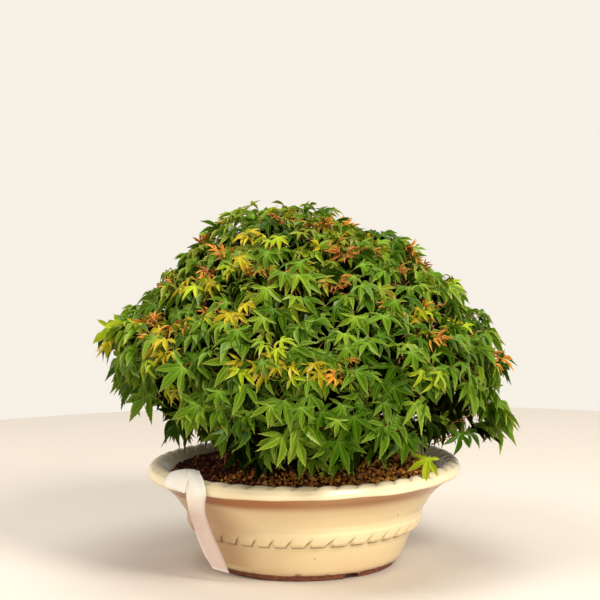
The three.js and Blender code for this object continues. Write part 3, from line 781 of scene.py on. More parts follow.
def make_trunk():
    """Trunk with its root flare and the limbs, with furrowed bark."""
    heap = Heap("furrow")
    rows, sides = 120, 48
    ts = np.linspace(0, 1, rows) ** 1.35
    z = TRUNK_BASE_Z + (TRUNK_TIP_Z - TRUNK_BASE_Z) * ts
    line = catmull(TRUNK_PTS, ts)
    ang = np.arange(sides) * 2 * math.pi / sides
    rise = ts * (TRUNK_TIP_Z - TRUNK_BASE_Z)
    flare = 0.95 * np.exp(-rise / 7.5)
    ridge = 0.62 + 0.38 * np.cos(6 * ang + 0.6 * np.sin(ang))
    rad = (TRUNK_BASE_R + (TRUNK_TIP_R - TRUNK_BASE_R) * ts ** 0.9)[:, None] * (1 + flare[:, None] * ridge[None])
    furrow = np.zeros((rows, sides))
    for i in range(rows):
        for j in range(sides):
            a = ang[j] + 0.004 * rise[i]
            f = noise.fractal(Vector((math.cos(a) * 2.6, math.sin(a) * 2.6, rise[i] / 17.0)), 0.8, 2.1, 5)
            furrow[i, j] = max(0.0, -f) * 1.1
            rad[i, j] *= 1 + 0.075 * f
            rad[i, j] += 0.35 * noise.noise(Vector((math.cos(a) * 9, math.sin(a) * 9, rise[i] / 3.0)))
    co = np.stack([line[:, :1] + rad * np.cos(ang), line[:, 1:2] + rad * np.sin(ang), z[:, None] * np.ones((1, sides))], -1).reshape(-1, 3)
    co[:, 2] = np.where(co[:, 2] < TRUNK_BASE_Z + 0.01, TRUNK_BASE_Z - 1.2, co[:, 2])
    i = np.arange(rows - 1)[:, None] * sides
    k = np.arange(sides)[None]
    k2 = (k + 1) % sides
    quads = np.stack([i + k, i + k2, i + sides + k2, i + sides + k], -1).reshape(-1, 4)
    tris = [(len(co), (q + 1) % sides, q) for q in range(sides)]
    tris += [(len(co) + 1, (rows - 1) * sides + q, (rows - 1) * sides + (q + 1) % sides) for q in range(sides)]
    co = np.concatenate([co, [[line[0][0], line[0][1], TRUNK_BASE_Z - 1.2]], [line[-1]]])
    heap.add(co, tris, quads, furrow=np.concatenate([furrow.ravel(), [0, 0]]).clip(0, 1))

    starts = {}
    for n, mass in enumerate(MASSES):
        if mass["tier"] == "top":
            starts[mass["name"]] = (np.array([-3.0, 0.0, 213.5]), np.array([0.0, 0.0, 1.0]))
            continue
        path, root, tip = limb_path(n, mass)
        path = path[:50]
        s = np.linspace(0, 50 / 60, 50)
        r = root + (tip - root) * s
        dist = np.concatenate([[0], np.cumsum(np.linalg.norm(np.diff(path, axis=0), axis=1))])
        r = r * (1 + 0.55 * np.exp(-((dist - 8) / 7.0).clip(0, None) ** 1.2))
        tube(heap, path, r, 14, relief=bark_relief(n * 3.7, 0.09, 5, 11.0), furrow=0.15)
        starts[mass["name"]] = (path[-1], unit(path[-1] - path[-4]))
    ob = heap.piece("trunk_and_boughs", [bark_material("maple_bark", srgb(52, 38, 28), srgb(112, 88, 66), srgb(158, 134, 106))])
    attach(ob, "root")
    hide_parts("trunk", *[m["name"].replace("mass", "bough") for m in MASSES if m["tier"] != "top"])
    return starts


# ============================================================ twig tips over the crown
# The leaves' own outline: how far it lies from the solids' outline on the left and on the right.
LEFT_Z = (100, 106, 118, 126, 134, 141, 153, 160, 166, 173, 180, 192, 198, 205, 212, 220, 250, 262, 275, 282, 290)
LEFT_BY = (-14, -22, -30, -26, -29, -22, -24, -30, -29, -22, -14, -12, -7, -9, -11, -8, -5, -9, -6, 4, 2)
RIGHT_Z = (102, 108, 121, 128, 141, 150, 166, 172, 190, 198, 204, 217, 230, 236, 243, 256, 263, 268, 275, 281, 290)
RIGHT_BY = (8, -5, -9, -14, -24, -14, -10, -12, -11, -12, -14, -9, 1, -10, -11, -4, 4, 6, -4, -14, -21)


def leaf_radius(az, z):
    r = crown_radius(az, z)
    r = r + np.interp(z, LEFT_Z, LEFT_BY) * towards(az, 180, 80) + np.interp(z, RIGHT_Z, RIGHT_BY) * towards(az, 0, 80)
    return np.maximum(r, 3.0)


def crown_normal(p):
    def f(q):
        dx = q[:, 0] - SHIFT_X
        az = np.degrees(np.arctan2(q[:, 1], dx))
        return np.hypot(dx, q[:, 1] * 1.02) - leaf_radius(az, q[:, 2])
    g = np.stack([f(p + d) - f(p - d) for d in np.eye(3) * 3.0], 1)
    n = unit(g)
    flat = smoothstep(p[:, 2], 262, 288)[:, None]
    return unit(n * (1 - flat) + np.array([0, 0, 1.0]) * flat + 1e-6)


# How low the leaves hang, by azimuth: over the soil, and out at the crown's edge.
HEM_AZ = (-180, -150, -135, -120, -105, -90, -69, -51, -27, 0, 45, 90, 135, 180)
HEM_IN = (96, 97, 94, 90, 84, 81, 87, 94, 98, 95, 103, 109, 104, 96)
HEM_OUT = (139, 139, 138, 108, 92, 87, 91, 96, 102, 99, 106, 112, 116, 132)
HEM_FAR = (130, 130, 138, 112, 101, 97, 99, 102, 104, 97, 108, 114, 118, 126)


def hem(az, r):
    low, high = np.interp(az, HEM_AZ, HEM_IN), np.interp(az, HEM_AZ, HEM_OUT)
    far = np.interp(az, HEM_AZ, HEM_FAR)
    return low + (high - low) * smoothstep(r, 102, 114) + (far - high) * smoothstep(r, 122, 132)


def azimuth(p):
    return np.degrees(np.arctan2(p[..., 1], p[..., 0] - SHIFT_X))


def scatter(count, spacing, seed, z_low=97.0):
    """Points spread evenly over the crown's outline, at least the spacing apart."""
    rnd = np.random.default_rng(seed)
    zs = np.linspace(z_low, 289.5, 400)
    r = np.interp(zs, PROFILE[:, 0], PROFILE[:, 1])
    weight = r * np.hypot(1, np.gradient(r, zs))
    cdf = np.cumsum(weight) / weight.sum()
    kept = np.zeros((0, 3))
    tries = 0
    while len(kept) < count and tries < 60:
        tries += 1
        z = np.interp(rnd.random(500), cdf, zs)
        az = rnd.uniform(-180, 180, 500)
        rr = leaf_radius(az, z)
        p = np.stack([SHIFT_X + rr * np.cos(np.radians(az)), rr * np.sin(np.radians(az)) / 1.02, z], 1)
        for q in p:
            if len(kept) >= count:
                break
            if len(kept) == 0 or np.min(np.sum((kept - q) ** 2, 1)) > spacing ** 2:
                kept = np.concatenate([kept, q[None]])
    return kept


# ============================================================ leaves
LOBE_ROWS = np.array([0.22, 0.33, 0.45, 0.58, 0.71, 0.83, 0.925])
LOBE_HALF = np.array([0.066, 0.098, 0.115, 0.101, 0.066, 0.031, 0.011])


def leaf_template(rnd, fine, lobes7, narrow=1.0, curl=1.0):
    """One palmate leaf on a unit central lobe: x across, y out along the middle, z up.
    Returns points, triangles, how near the midrib and how near the tip each point is."""
    angles = [0, 47, -47, 96, -96]
    lengths = [1.0, 0.90, 0.90, 0.66, 0.66]
    if lobes7:
        angles += [140, -140]
        lengths += [0.27, 0.27]
    angles = [a + rnd.normal(0, 4.5) for a in angles]
    lengths = [l * rnd.uniform(0.92, 1.08) for l in lengths]
    order = np.argsort(angles)
    ang = np.array(angles)[order]
    lng = np.array(lengths)[order]
    co, tri, rib, end = [], [], [], []
    rows, half = (LOBE_ROWS, LOBE_HALF) if fine else (LOBE_ROWS[[0, 2, 4]], LOBE_HALF[[0, 2, 4]] * 1.06)
    half = half * narrow
    broad = {0: 1.08, 1: 1.0, 2: 0.86, 3: 0.62}

    def point(a, s, off, L, droop, twist, fold, wave):
        """A point of a lobe: s along it, off to its left (+) or right (-), in shares of L."""
        y = s * L
        x = off * L
        z = fold * abs(x) - droop * L * s ** 1.9 + twist * x * s + wave * L * math.sin(5.0 * s + 4 * a)
        ca, sa = math.cos(math.radians(a)), math.sin(math.radians(a))
        shorten = 1 - 0.35 * droop * s ** 2
        return (-x * ca + y * shorten * sa, y * shorten * ca + x * sa, z)

    m = len(ang)
    sinus = []
    for i in range(m + 1):
        if i == 0 or i == m:
            a = ang[0] - 34 if i == 0 else ang[-1] + 34
            sinus.append((a, 0.11 * lng[0 if i == 0 else -1] + 0.02))
        else:
            sinus.append(((ang[i - 1] + ang[i]) / 2, (0.19 + 0.06 * rnd.random()) * (lng[i - 1] + lng[i]) / 2 + 0.03))
    sweep = rnd.uniform(-0.06, 0.12) * curl
    for i in range(m):
        a, L = ang[i], lng[i]
        droop = curl * (rnd.uniform(0.02, 0.24) + sweep) * (1 + 0.5 * abs(a) / 90)
        twist = rnd.normal(0, 0.45)
        fold = rnd.uniform(0.65, 1.35)
        wave = rnd.uniform(-0.016, 0.016)
        mids = [len(co)]
        co.append((0.0, 0.0, 0.0)); rib.append(1.0); end.append(0.0)
        for s in rows:
            mids.append(len(co))
            co.append(point(a, s, 0, L, droop, twist, fold, wave)); rib.append(1.0); end.append(s ** 2)
        tip = len(co)
        co.append(point(a, 1.0, 0, L, droop, twist, fold, wave)); rib.append(0.6); end.append(1.0)
        mids.append(tip)
        for side in (1, -1):
            # +1 is the lobe's left, towards smaller angles
            sa, sr = sinus[i] if side == 1 else sinus[i + 1]
            edge = [len(co)]
            zz = fold * sr * 0.25 - 0.02
            co.append((sr * math.sin(math.radians(sa)), sr * math.cos(math.radians(sa)), zz)); rib.append(0.25); end.append(0.05)
            for s, h in zip(rows[1:], half[1:]):
                edge.append(len(co))
                w = h * rnd.uniform(0.90, 1.10) * broad[min(3, int(abs(a) + 24) // 48)]
                co.append(point(a, s - 0.012, side * w, L, droop, twist, fold, wave)); rib.append(0.0); end.append(s ** 2)
            edge.append(tip)
            flip = side == -1

            def face(p, q, r):
                tri.append((p, r, q) if flip else (p, q, r))
            face(mids[0], mids[1], edge[0])
            for k in range(len(edge) - 1):
                p, q = mids[k + 1], mids[k + 2]
                e, f = edge[k], edge[k + 1]
                if f == tip:
                    face(p, tip, e)
                else:
                    face(p, q, f)
                    face(p, f, e)
            if fine:
                for k in range(1, len(edge) - 2):
                    e, f = np.array(co[edge[k]]), np.array(co[edge[k + 1]])
                    mid = np.array(co[mids[k + 1]])
                    out = (e - mid) / max(np.linalg.norm(e - mid), 1e-6)
                    tooth = e * 0.35 + f * 0.65 + out * (0.013 + 0.011 * rnd.random()) * L + (f - e) * 0.25
                    idx = len(co)
                    co.append(tuple(tooth)); rib.append(0.0); end.append(end[edge[k]])
                    face(edge[k], edge[k + 1], idx)
    return np.array(co), np.array(tri), np.array(rib), np.array(end)


TINT_SPOTS = (  # turned sprays: azimuth, height, the colours they turn
    (-164, 190, ("lime", "yellow")), (-168, 200, ("lime", "orange")), (-158, 202, ("lime",)),
    (-150, 207, ("orange",)), (-141, 198, ("orange",)), (-133, 200, ("yellow",)), (-135, 207, ("red",)),
    (-136, 187, ("yellow", "lime")), (-131, 191, ("yellow", "lime")), (-130, 207, ("orange",)),
    (-128, 214, ("yellow", "orange")), (-123, 217, ("orange",)), (-160, 230, ("orange",)),
    (-168, 236, ("orange",)), (-133, 235, ("yellow",)), (-140, 238, ("orange", "yellow")),
    (-129, 240, ("yellow", "orange")), (-120, 251, ("yellow",)), (-133, 258, ("orange",)),
    (-111, 248, ("red",)), (-114, 219, ("yellow",)), (174, 277, ("orange", "yellow")),
    (-122, 270, ("yellow", "lime")), (-106, 268, ("lime",)), (-105, 282, ("orange", "red")),
    (178, 262, ("red",)), (-92, 247, ("red", "orange")), (-77, 239, ("red",)),
    (-73, 268, ("orange", "red")), (-59, 266, ("red", "orange")), (-49, 264, ("orange",)),
    (-69, 261, ("red",)), (-70, 283, ("red",)), (-17, 263, ("orange", "red")), (-14, 257, ("orange",)),
    (1, 250, ("orange", "red")), (-41, 244, ("red",)), (-58, 220, ("orange",)),
    (-45, 217, ("yellow", "orange")), (-40, 214, ("red",)), (-18, 230, ("lime", "red")),
    (-2, 223, ("lime", "yellow")), (-2, 218, ("yellow",)), (-50, 201, ("orange", "red")),
    (-49, 197, ("orange",)), (-32, 202, ("lime",)), (-54, 174, ("lime",)), (-95, 186, ("yellow",)),
    (-87, 189, ("yellow",)), (-96, 177, ("yellow",)), (-90, 177, ("yellow",)),
    (-104, 184, ("yellow", "lime")), (-81, 176, ("orange",)), (-79, 172, ("orange",)),
    (-16, 167, ("orange",)), (-14, 142, ("lime",)), (-99, 199, ("lime",)),
    (60, 262, ("orange", "yellow")), (72, 256, ("orange",)), (95, 236, ("red", "orange")),
    (104, 240, ("yellow",)), (150, 240, ("orange", "yellow")), (142, 232, ("yellow",)),
    (130, 200, ("yellow", "lime")), (122, 206, ("lime",)), (70, 196, ("orange", "red")),
    (62, 200, ("yellow",)), (25, 214, ("yellow", "orange")), (33, 208, ("orange",)),
    (110, 160, ("yellow", "lime")), (165, 178, ("orange",)), (158, 190, ("yellow",)),
    (40, 158, ("lime", "yellow")), (8, 240, ("orange", "red")), (90, 188, ("yellow",)),
    (82, 180, ("yellow", "orange")), (120, 270, ("orange", "red")), (45, 280, ("red", "orange")),
    (15, 180, ("lime",)),
)
GREENS_SHADE_TO_LIT = ("green_shade", "green_a", "green_b", "green_c", "green_d")
# single shoots that stand out past the outline: azimuth, height, how far out
SHOOTS = (
    (-176, 189, 4), (180, 161, 3), (-172, 135, 0), (-2, 225, 3), (-2, 166, 4), (-5, 124, 2), (-3, 122, 4), (-14, 107, -22),
    (-14, 128, 2), (-105, 289, 1), (-60, 283, 2), (-30, 268, 2), (-120, 280, 0), (60, 276, 2), (95, 202, 3),
    (130, 232, 3), (48, 190, 3), (90, 150, 3), (150, 150, 2), (-95, 240, 0), (110, 285, 1), (170, 214, 2), (30, 140, 2),
    (-98, 217, -3), (-91, 206, -4),
)


LONE_LEAVES = (  # base, along the middle lobe, facing, length (mm), finish
    ((-149, -30, 195), (-0.34, -0.12, -0.93), (-0.15, -0.95, 0.3), 26, "lime"),
    ((-128, -52, 201), (-0.25, -0.20, -0.95), (-0.3, -0.85, 0.45), 21, "lime"),
    ((-110, -86, 187), (-0.35, -0.23, -0.91), (-0.3, -0.85, 0.45), 19, "yellow"),
    ((-107, -92, 200), (-0.84, -0.26, -0.48), (-0.2, -0.7, 0.7), 13, "yellow"),
    ((-140, -22, 163), (-0.91, 0.00, -0.41), (-0.25, -0.45, 0.85), 25, "green_b"),
    ((-130, -40, 152), (-0.63, -0.07, -0.78), (-0.45, -0.75, 0.45), 30, "green_b"),
    ((-119, -52, 145), (-0.61, -0.07, -0.79), (-0.35, -0.85, 0.35), 29, "green_c"),
    ((-88, -116, 173), (-0.79, -0.23, -0.57), (-0.35, -0.8, 0.5), 28, "green_d"),
    ((-77, -112, 145), (-0.18, -0.17, -0.97), (-0.1, -0.95, 0.3), 25, "green_d"),
    ((-78, -136, 149), (-0.42, -0.12, -0.90), (-0.10, -0.97, 0.2), 28, "green_c"),
    ((-88, -134, 177), (-0.78, -0.12, -0.61), (-0.20, -0.95, 0.25), 27, "green_c"),
    ((153, -22, 132), (0.66, -0.08, -0.75), (0.4, -0.40, 0.85), 25, "green_c"),
    ((152, -18, 112), (0.84, -0.05, -0.54), (0.25, -0.70, 0.65), 30, "green_c"),
    ((128, -46, 112), (0.69, -0.06, -0.72), (0.6, -0.5, 0.6), 18, "green_b"),
    ((121, -62, 113), (-0.18, -0.11, -0.98), (0.5, -0.8, 0.2), 20, "green_b"),
    ((94, -82, 97), (-0.16, -0.30, -0.93), (0.15, -0.80, 0.62), 22, "lime"),
    ((116, -30, 226), (0.97, 0.00, -0.25), (0.35, -0.6, 0.7), 16, "lime"),
    ((129, -20, 197), (0.90, 0.00, -0.44), (0.2, -0.3, 0.9), 16, "green_b"),
    ((157, -16, 166), (0.63, 0.00, -0.77), (0.4, -0.7, 0.55), 16, "orange"),
    ((151, -24, 155), (0.58, -0.07, -0.81), (0.5, -0.7, 0.5), 16, "green_c"),
    ((117, -74, 201), (-0.23, -0.32, -0.92), (0.1, -0.9, 0.4), 14, "yellow"),
    ((94, -122, 172), (-0.61, -0.41, -0.68), (0.0, -0.85, 0.5), 13, "lime"),
    ((-46, -90, 254), (0.16, -0.37, -0.92), (-0.1, -0.8, 0.55), 12, "yellow"),
    ((-37, -64, 273), (0.09, -0.49, -0.87), (-0.05, -0.7, 0.7), 11, "yellow"),
    ((-24, -90, 258), (-0.17, -0.37, -0.91), (-0.05, -0.75, 0.65), 17, "green_c"),
    ((24, -103, 106), (-0.10, -0.20, -0.95), (0.0, -0.95, 0.2), 25, "green_c"),
    ((8, -106, 110), (0.20, -0.20, -0.92), (0.1, -0.95, 0.25), 24, "green_d"),
    ((-50, -82, 115), (-0.19, -0.14, -0.98), (0.12, -0.96, 0.22), 22, "green_b"),
    ((-47, -84, 105), (0.12, -0.14, -0.99), (-0.10, -0.96, 0.22), 23, "green_a"),
    ((-39, -80, 113), (0.30, -0.14, -0.95), (0.12, -0.96, 0.22), 24, "green_a"),
    ((-70, -74, 125), (0.08, -0.14, -1.00), (-0.10, -0.96, 0.22), 23, "green_b"),
    ((-59, -86, 122), (-0.14, -0.14, -0.99), (-0.10, -0.96, 0.22), 25, "green_c"),
    ((20, -100, 106), (-0.22, -0.14, -0.98), (-0.10, -0.96, 0.22), 22, "green_b"),
    ((-32, -88, 110), (0.17, -0.14, -0.99), (0.12, -0.96, 0.22), 25, "green_b"),
    ((63, -92, 114), (-0.08, -0.14, -1.00), (-0.10, -0.96, 0.22), 23, "green_a"),
    ((-26, -115, 233), (0.05, -0.23, -1.00), (-0.08, -0.93, 0.53), 22, "green_d"),
    ((-28, -136, 213), (-0.54, -0.15, -0.84), (-0.08, -0.93, 0.45), 17, "green_d"),
    ((-47, -141, 205), (0.15, -0.12, -0.99), (-0.08, -0.93, 0.42), 18, "green_c"),
    ((-25, -93, 258), (-0.30, -0.33, -0.95), (-0.08, -0.93, 0.63), 16, "green_c"),
    ((39, -129, 212), (-0.14, -0.15, -0.99), (0.08, -0.93, 0.45), 18, "green_d"),
    ((32, -154, 192), (0.07, -0.10, -1.00), (0.08, -0.93, 0.40), 17, "green_c"),
    ((-1, -163, 150), (0.07, -0.10, -1.00), (0.08, -0.93, 0.40), 17, "green_c"),
    ((25, -159, 140), (-0.12, -0.10, -0.99), (0.08, -0.93, 0.40), 14, "green_d"),
    ((-61, -158, 162), (-0.10, -0.10, -0.99), (-0.08, -0.93, 0.40), 17, "green_c"),
    ((80, -144, 187), (0.15, -0.10, -0.99), (0.08, -0.93, 0.40), 18, "green_c"),
    ((-1, -103, 251), (0.25, -0.30, -0.97), (-0.08, -0.93, 0.60), 17, "green_c"),
    ((70, -110, 222), (-0.24, -0.19, -0.97), (0.08, -0.93, 0.49), 16, "green_c"),
)


def plan_tips():
    """Where the last twigs end: points, normals, layer (0 outermost), the colour each spray turns, a seed for each."""
    rnd = np.random.default_rng(8)
    sets = []

    def keep_set(tip, n, depth):
        mark = np.round(tip).astype(int) + 400
        sets.append((tip, n, depth, mark[:, 0] * 1000003 + mark[:, 1] * 1009 + mark[:, 2]))

    def lumps(p):
        return np.array([noise.fractal(Vector(q) * 0.027, 0.9, 2.0, 2) for q in p])

    def add(p, n, depth, layer, clear=17.0):
        tip = p - n * depth[:, None]
        az, r = azimuth(tip), np.hypot(tip[:, 0] - SHIFT_X, tip[:, 1])
        keep = tip[:, 2] > hem(az, r) + clear + rnd.uniform(0, 7, len(tip))
        keep_set(tip[keep], n[keep], np.full(keep.sum(), layer))

    def thin(p, share):
        return p[rnd.random(len(p)) > share * (1 - smoothstep(p[:, 2], 118, 165))]

    p = thin(scatter(400, 17.4, 11), 0.53)
    n = crown_normal(p)
    top = smoothstep(n[:, 2], 0.25, 0.9)
    add(p, n, 10.5 - 3.0 * top + 7.0 * rnd.random(len(p)) ** 1.6 + 5.0 * lumps(p), 0)
    p = thin(scatter(230, 21.5, 12), 0.58)
    n = crown_normal(p)
    add(p, n, 21.0 + 9.0 * rnd.random(len(p)) + 4.0 * lumps(p), 1)
    p = thin(scatter(230, 21.0, 14, z_low=104.0), 0.34)
    n = crown_normal(p)
    add(p, n, 36.0 + 12.0 * rnd.random(len(p)) + 4.0 * lumps(p), 2)
    p = scatter(180, 24.0, 13, z_low=110.0)
    n = crown_normal(p)
    add(p, n, 54.0 + 22.0 * rnd.random(len(p)), 3)
    for count, spacing, seed, deep, layer in ((44, 13.5, 21, 8.0, 0), (46, 15.0, 22, 17.0, 1), (30, 18.0, 23, 30.0, 1)):
        p = scatter(count, spacing, seed, z_low=243.0)
        n = crown_normal(p)
        add(p, n, deep + 5.0 * rnd.random(len(p)), layer)
    # leaves that hang under the crown, over the soil
    count = 84
    az = (np.arange(count) * 137.508) % 360 - 180
    r = 62 + 52 * np.sqrt(rnd.random(count))
    az_r = np.radians(az)
    tip = np.stack([SHIFT_X + r * np.cos(az_r), r * np.sin(az_r), hem(az, r) + 18 + 16 * rnd.random(count)], 1)
    keep_set(tip, unit(np.stack([np.cos(az_r), np.sin(az_r), np.full(count, 0.1)], 1)), np.where(r > 97, 0, np.where(r > 84, 1, 2)))
    shoots = np.array([(SHIFT_X + (float(leaf_radius(a, z)) + d - 9) * math.cos(math.radians(a)),
                        (float(leaf_radius(a, z)) + d - 9) * math.sin(math.radians(a)), z - (6 if z > 270 else 0)) for a, z, d in SHOOTS])
    keep_set(shoots, crown_normal(shoots), np.zeros(len(shoots), int))
    # the turned sprays stand in the outermost layer, each at its own place
    spots = np.array([(SHIFT_X + float(leaf_radius(a, z)) * math.cos(math.radians(a)),
                       float(leaf_radius(a, z)) * math.sin(math.radians(a)), z) for a, z, _ in TINT_SPOTS])
    n = crown_normal(spots)
    keep_set(spots - n * (8.5 - 4.5 * smoothstep(spots[:, 2:], 240, 262)), n, np.zeros(len(spots), int))
    tips, normals, layer, seeds = [np.concatenate([s[i] for s in sets]) for i in range(4)]
    tints = [None] * (len(tips) - len(spots))
    for t in range(len(tints)):
        pick = np.random.default_rng((61, int(seeds[t])))
        z = tips[t][2]
        if layer[t] == 0 and pick.random() < 0.03 * float(smoothstep(z, 140, 165)) + 0.08 * float(smoothstep(z, 215, 272)):
            tints[t] = ("lime", "yellow", "yellow", "orange", "orange", "red")[int(pick.integers(6))]
    for (_, _, colours), seed in zip(TINT_SPOTS, seeds[len(tints):]):
        tints.append(colours[int(np.random.default_rng((62, int(seed))).integers(len(colours)))])
    # the top slopes away to the right
    tips[:, 2] -= 11.0 * smoothstep(tips[:, 0], -14, 45) * smoothstep(tips[:, 2], 238, 276)
    return tips, normals, layer, tints, seeds


def make_foliage(starts):
    rnd = np.random.default_rng(2024)
    sets = {
        "fine": [leaf_template(np.random.default_rng(100 + i), True, i % 3 == 0) for i in range(16)],
        "coarse": [leaf_template(np.random.default_rng(300 + i), False, i % 4 == 0) for i in range(8)],
        "young": [leaf_template(np.random.default_rng(500 + i), True, False, narrow=0.84, curl=1.7) for i in range(8)],
    }
    tips, normals, layer, tints, seeds = plan_tips()

    # ---- branching from each limb's end to its tips
    wood, twigs = Heap("furrow"), Heap()
    centres = np.array([m["at"] for m in MASSES])
    owner = np.argmin(((tips[:, None] - centres[None]) ** 2).sum(-1), 1)
    arrive = np.zeros_like(tips)

    def branch(a, b, heading, r0, r1):
        span = np.linalg.norm(b - a)
        ctrl = a + heading * span * 0.38
        mid = (a + b) / 2 + unit(rnd.normal(size=3)) * span * 0.06
        k = 5 if span > 14 else 4
        t = np.linspace(0, 1, k)[:, None]
        p = (1 - t) ** 3 * a + 3 * (1 - t) ** 2 * t * ctrl + 3 * (1 - t) * t ** 2 * (mid * 0.5 + b * 0.5) + t ** 3 * b
        heap = wood if r0 > 1.0 else twigs
        tube(heap, p, np.linspace(r0, r1, k), 7 if r0 > 1.6 else 5 if r0 > 0.7 else 4, **({"furrow": 0.1} if heap is wood else {}))
        return unit(p[-1] - p[-2])

    def radius(n):
        return 0.42 * n ** 0.47

    def grow(at, heading, members):
        if len(members) == 1:
            t = members[0]
            arrive[t] = branch(at, tips[t], heading, radius(1), 0.34)
            return
        pts = tips[members]
        k = 2 if len(members) < 5 or rnd.random() < 0.6 else 3
        cent = pts[rnd.choice(len(pts), k, replace=False)]
        for _ in range(6):
            lab = np.argmin(((pts[:, None] - cent[None]) ** 2).sum(-1), 1)
            cent = np.array([pts[lab == j].mean(0) if (lab == j).any() else cent[j] for j in range(k)])
        for j in range(k):
            sub = [m for m, l in zip(members, lab) if l == j]
            if not sub:
                continue
            if len(sub) == 1:
                grow(at, heading, sub)
                continue
            share = 0.42 + 0.12 * rnd.random()
            target = at + (cent[j] - at) * share
            h = branch(at, target, heading, radius(len(sub)) * 1.08, radius(len(sub)))
            grow(target, h, sub)

    for m, mass in enumerate(MASSES):
        members = list(np.nonzero(owner == m)[0])
        if members:
            at, heading = starts[mass["name"]]
            grow(at, heading, members)

    # ---- sprays of leaves at the tips
    leaves = {}
    stalks = []
    down = np.array([0.0, 0.0, -1.0])
    for t in range(len(tips)):
        rnd = np.random.default_rng((2024, int(seeds[t])))
        p, n, deep = tips[t], normals[t], int(layer[t])
        radial = unit(np.array([p[0] - SHIFT_X, p[1], 0.0]) + 1e-6)
        slope = down - n * down.dot(n)
        slope = unit(slope + radial * (0.35 + 0.30 * float(smoothstep(p[2], 215, 165)) + 1.2 * max(0.0, n[2] - 0.6)) * (1 - radial.dot(n) ** 2 * 0.7))
        side = unit(np.cross(n, slope))
        tint = tints[t]
        big = float(np.interp(p[2], [100, 150, 215, 285], [24.0, 22.5, 19.5, 15.5]))
        young = tint in ("orange", "red")
        if deep == 0:
            count = 5 if young else 3 if rnd.random() < 0.65 else 4
        else:
            count = 3 if rnd.random() < 0.6 else 2
        spin = rnd.uniform(-25, 25)
        fan = {2: (-48, 48), 3: (-66, 0, 66), 4: (-88, -28, 32, 90), 5: (-105, -52, 0, 50, 104)}[count]
        narrow = 0.62 + 0.38 * float(smoothstep(p[2], 112, 150))       # low leaves hang straighter
        aside = float(smoothstep(abs(radial[0]), 0.62, 0.92) * smoothstep(p[2], 205, 165)) if deep == 0 else 0.0   # those at the two sides reach out
        fan = tuple(v * narrow for v in fan)
        for q, a_deg in enumerate(fan):
            a = math.radians(a_deg + spin + rnd.normal(0, 12))
            reach = slope * math.cos(a) + side * math.sin(a)
            lift = rnd.uniform(0.1, 0.8) if deep < 2 else rnd.uniform(-0.2, 0.6)
            stalk = rnd.uniform(5.0, 13.5) * big / 19.0 * (0.7 if young else 1.0)
            go = unit(reach * 0.8 + n * lift + np.array([0, 0, 0.15]))
            node = p - arrive[t] * (0.0 if q % 2 else 4.0) * rnd.random()
            base = node + go * stalk
            b = a * (0.8 if young else 0.52) + rnd.normal(0, 0.27)
            heading = slope * math.cos(b) + side * math.sin(b) + radial * (0.55 * rnd.random() ** 2 * float(smoothstep(n[2], 0.7, 0.3)) + 0.42 * aside)
            along = unit(heading + n * rnd.normal(0.12, 0.20) + down * (0.25 + 0.35 * rnd.random() + 0.4 * (1 - narrow) * (1 - aside)))
            face = n * 0.95 + np.array([0, 0, 0.24]) + rnd.normal(0, 0.44, 3)
            if young:
                # new growth stands out from the crown
                along = unit(heading * 0.75 + n * rnd.uniform(0.2, 0.9) + (0, 0, 0.35 * rnd.random()))
                face = n * 0.7 + np.array([0, 0, 0.4]) + rnd.normal(0, 0.5, 3)
            face = unit(face - along * face.dot(along))
            size = big * rnd.uniform(0.72, 1.24)
            if young:
                size *= rnd.uniform(0.42, 0.64) * (1 + 0.25 * float(smoothstep(p[2], 240, 265)))
                group = "young"
            elif tint:
                size *= rnd.uniform(0.56, 0.86)
                group = "fine" if rnd.random() < 0.35 else "young"
            else:
                group = "fine" if deep < 2 else "coarse"
            # no leaf hangs below the crown's lower edge
            low = base[2] + min(0.0, along[2]) * size
            floor = float(hem(azimuth(base), math.hypot(base[0] - SHIFT_X, base[1]))) + rnd.uniform(-1, 5)
            if low < floor:
                if low < floor - 9:
                    continue
                base = base + (0, 0, floor - low)
            # nor far out past the solids, in front and behind
            end = base[1] + along[1] * size
            base = base - (0, math.copysign(max(0.0, abs(end) - (169.0 if end < 0 else 164.0)), end), 0)
            kind = tint if tint and rnd.random() < 0.85 else None
            if kind is None:
                # painted shade and light: deeper layers and the low crown get darker greens, the top paler ones
                low_in = float(smoothstep(p[2], 158, 132))
                high = float(smoothstep(p[2], 195, 240))
                mean = (2.9, 0.1, -1.0, -1.8)[deep] - (0.45, 1.2, 1.2, 1.2)[deep] * low_in + (0.35, 0.75, 0.6, 0.5)[deep] * high
                spread = 0.9 + (0.6 * float(smoothstep(p[2], 165, 135)) if deep == 0 else 0.0)
                outward_painted_light = 2.6 * (float(np.dot(unit(go), n)) - 0.70) if deep == 0 else 0.0       # painted light: leaves that stand out get paler greens
                pick = int(min(4, max(1 if deep == 0 and low_in < 0.5 else 0, round(rnd.normal(mean + outward_painted_light, spread * (0.72 + 0.35 * low_in if deep == 0 else 1.0))))))
                end = base + along * size
                if pick == 2 and rnd.random() < 0.25 + 0.6 * low_in:
                    pick = 1 if rnd.random() < 0.55 else 3
                if math.hypot(end[0] - SHIFT_X, end[1]) > float(leaf_radius(azimuth(end), end[2])) - 4.0:
                    pick = max(pick, 2)
                kind = GREENS_SHADE_TO_LIT[pick]
                # olive leaves up at the top
                if kind in ("green_c", "green_d") and rnd.random() < 0.60 * float(smoothstep(p[2], 195, 268)):
                    kind = "green_e"
            elif rnd.random() < 0.30:
                kind = {"orange": "yellow", "red": "orange", "yellow": "lime", "lime": "green_d"}[kind]
            which = int(rnd.integers(len(sets[group])))
            leaves.setdefault(kind, []).append((group, which, base, along, face, size, float(np.clip(rnd.normal(0.55, 0.32), 0, 1))))
            stalks.append((node, base - along * size * 0.01, go))

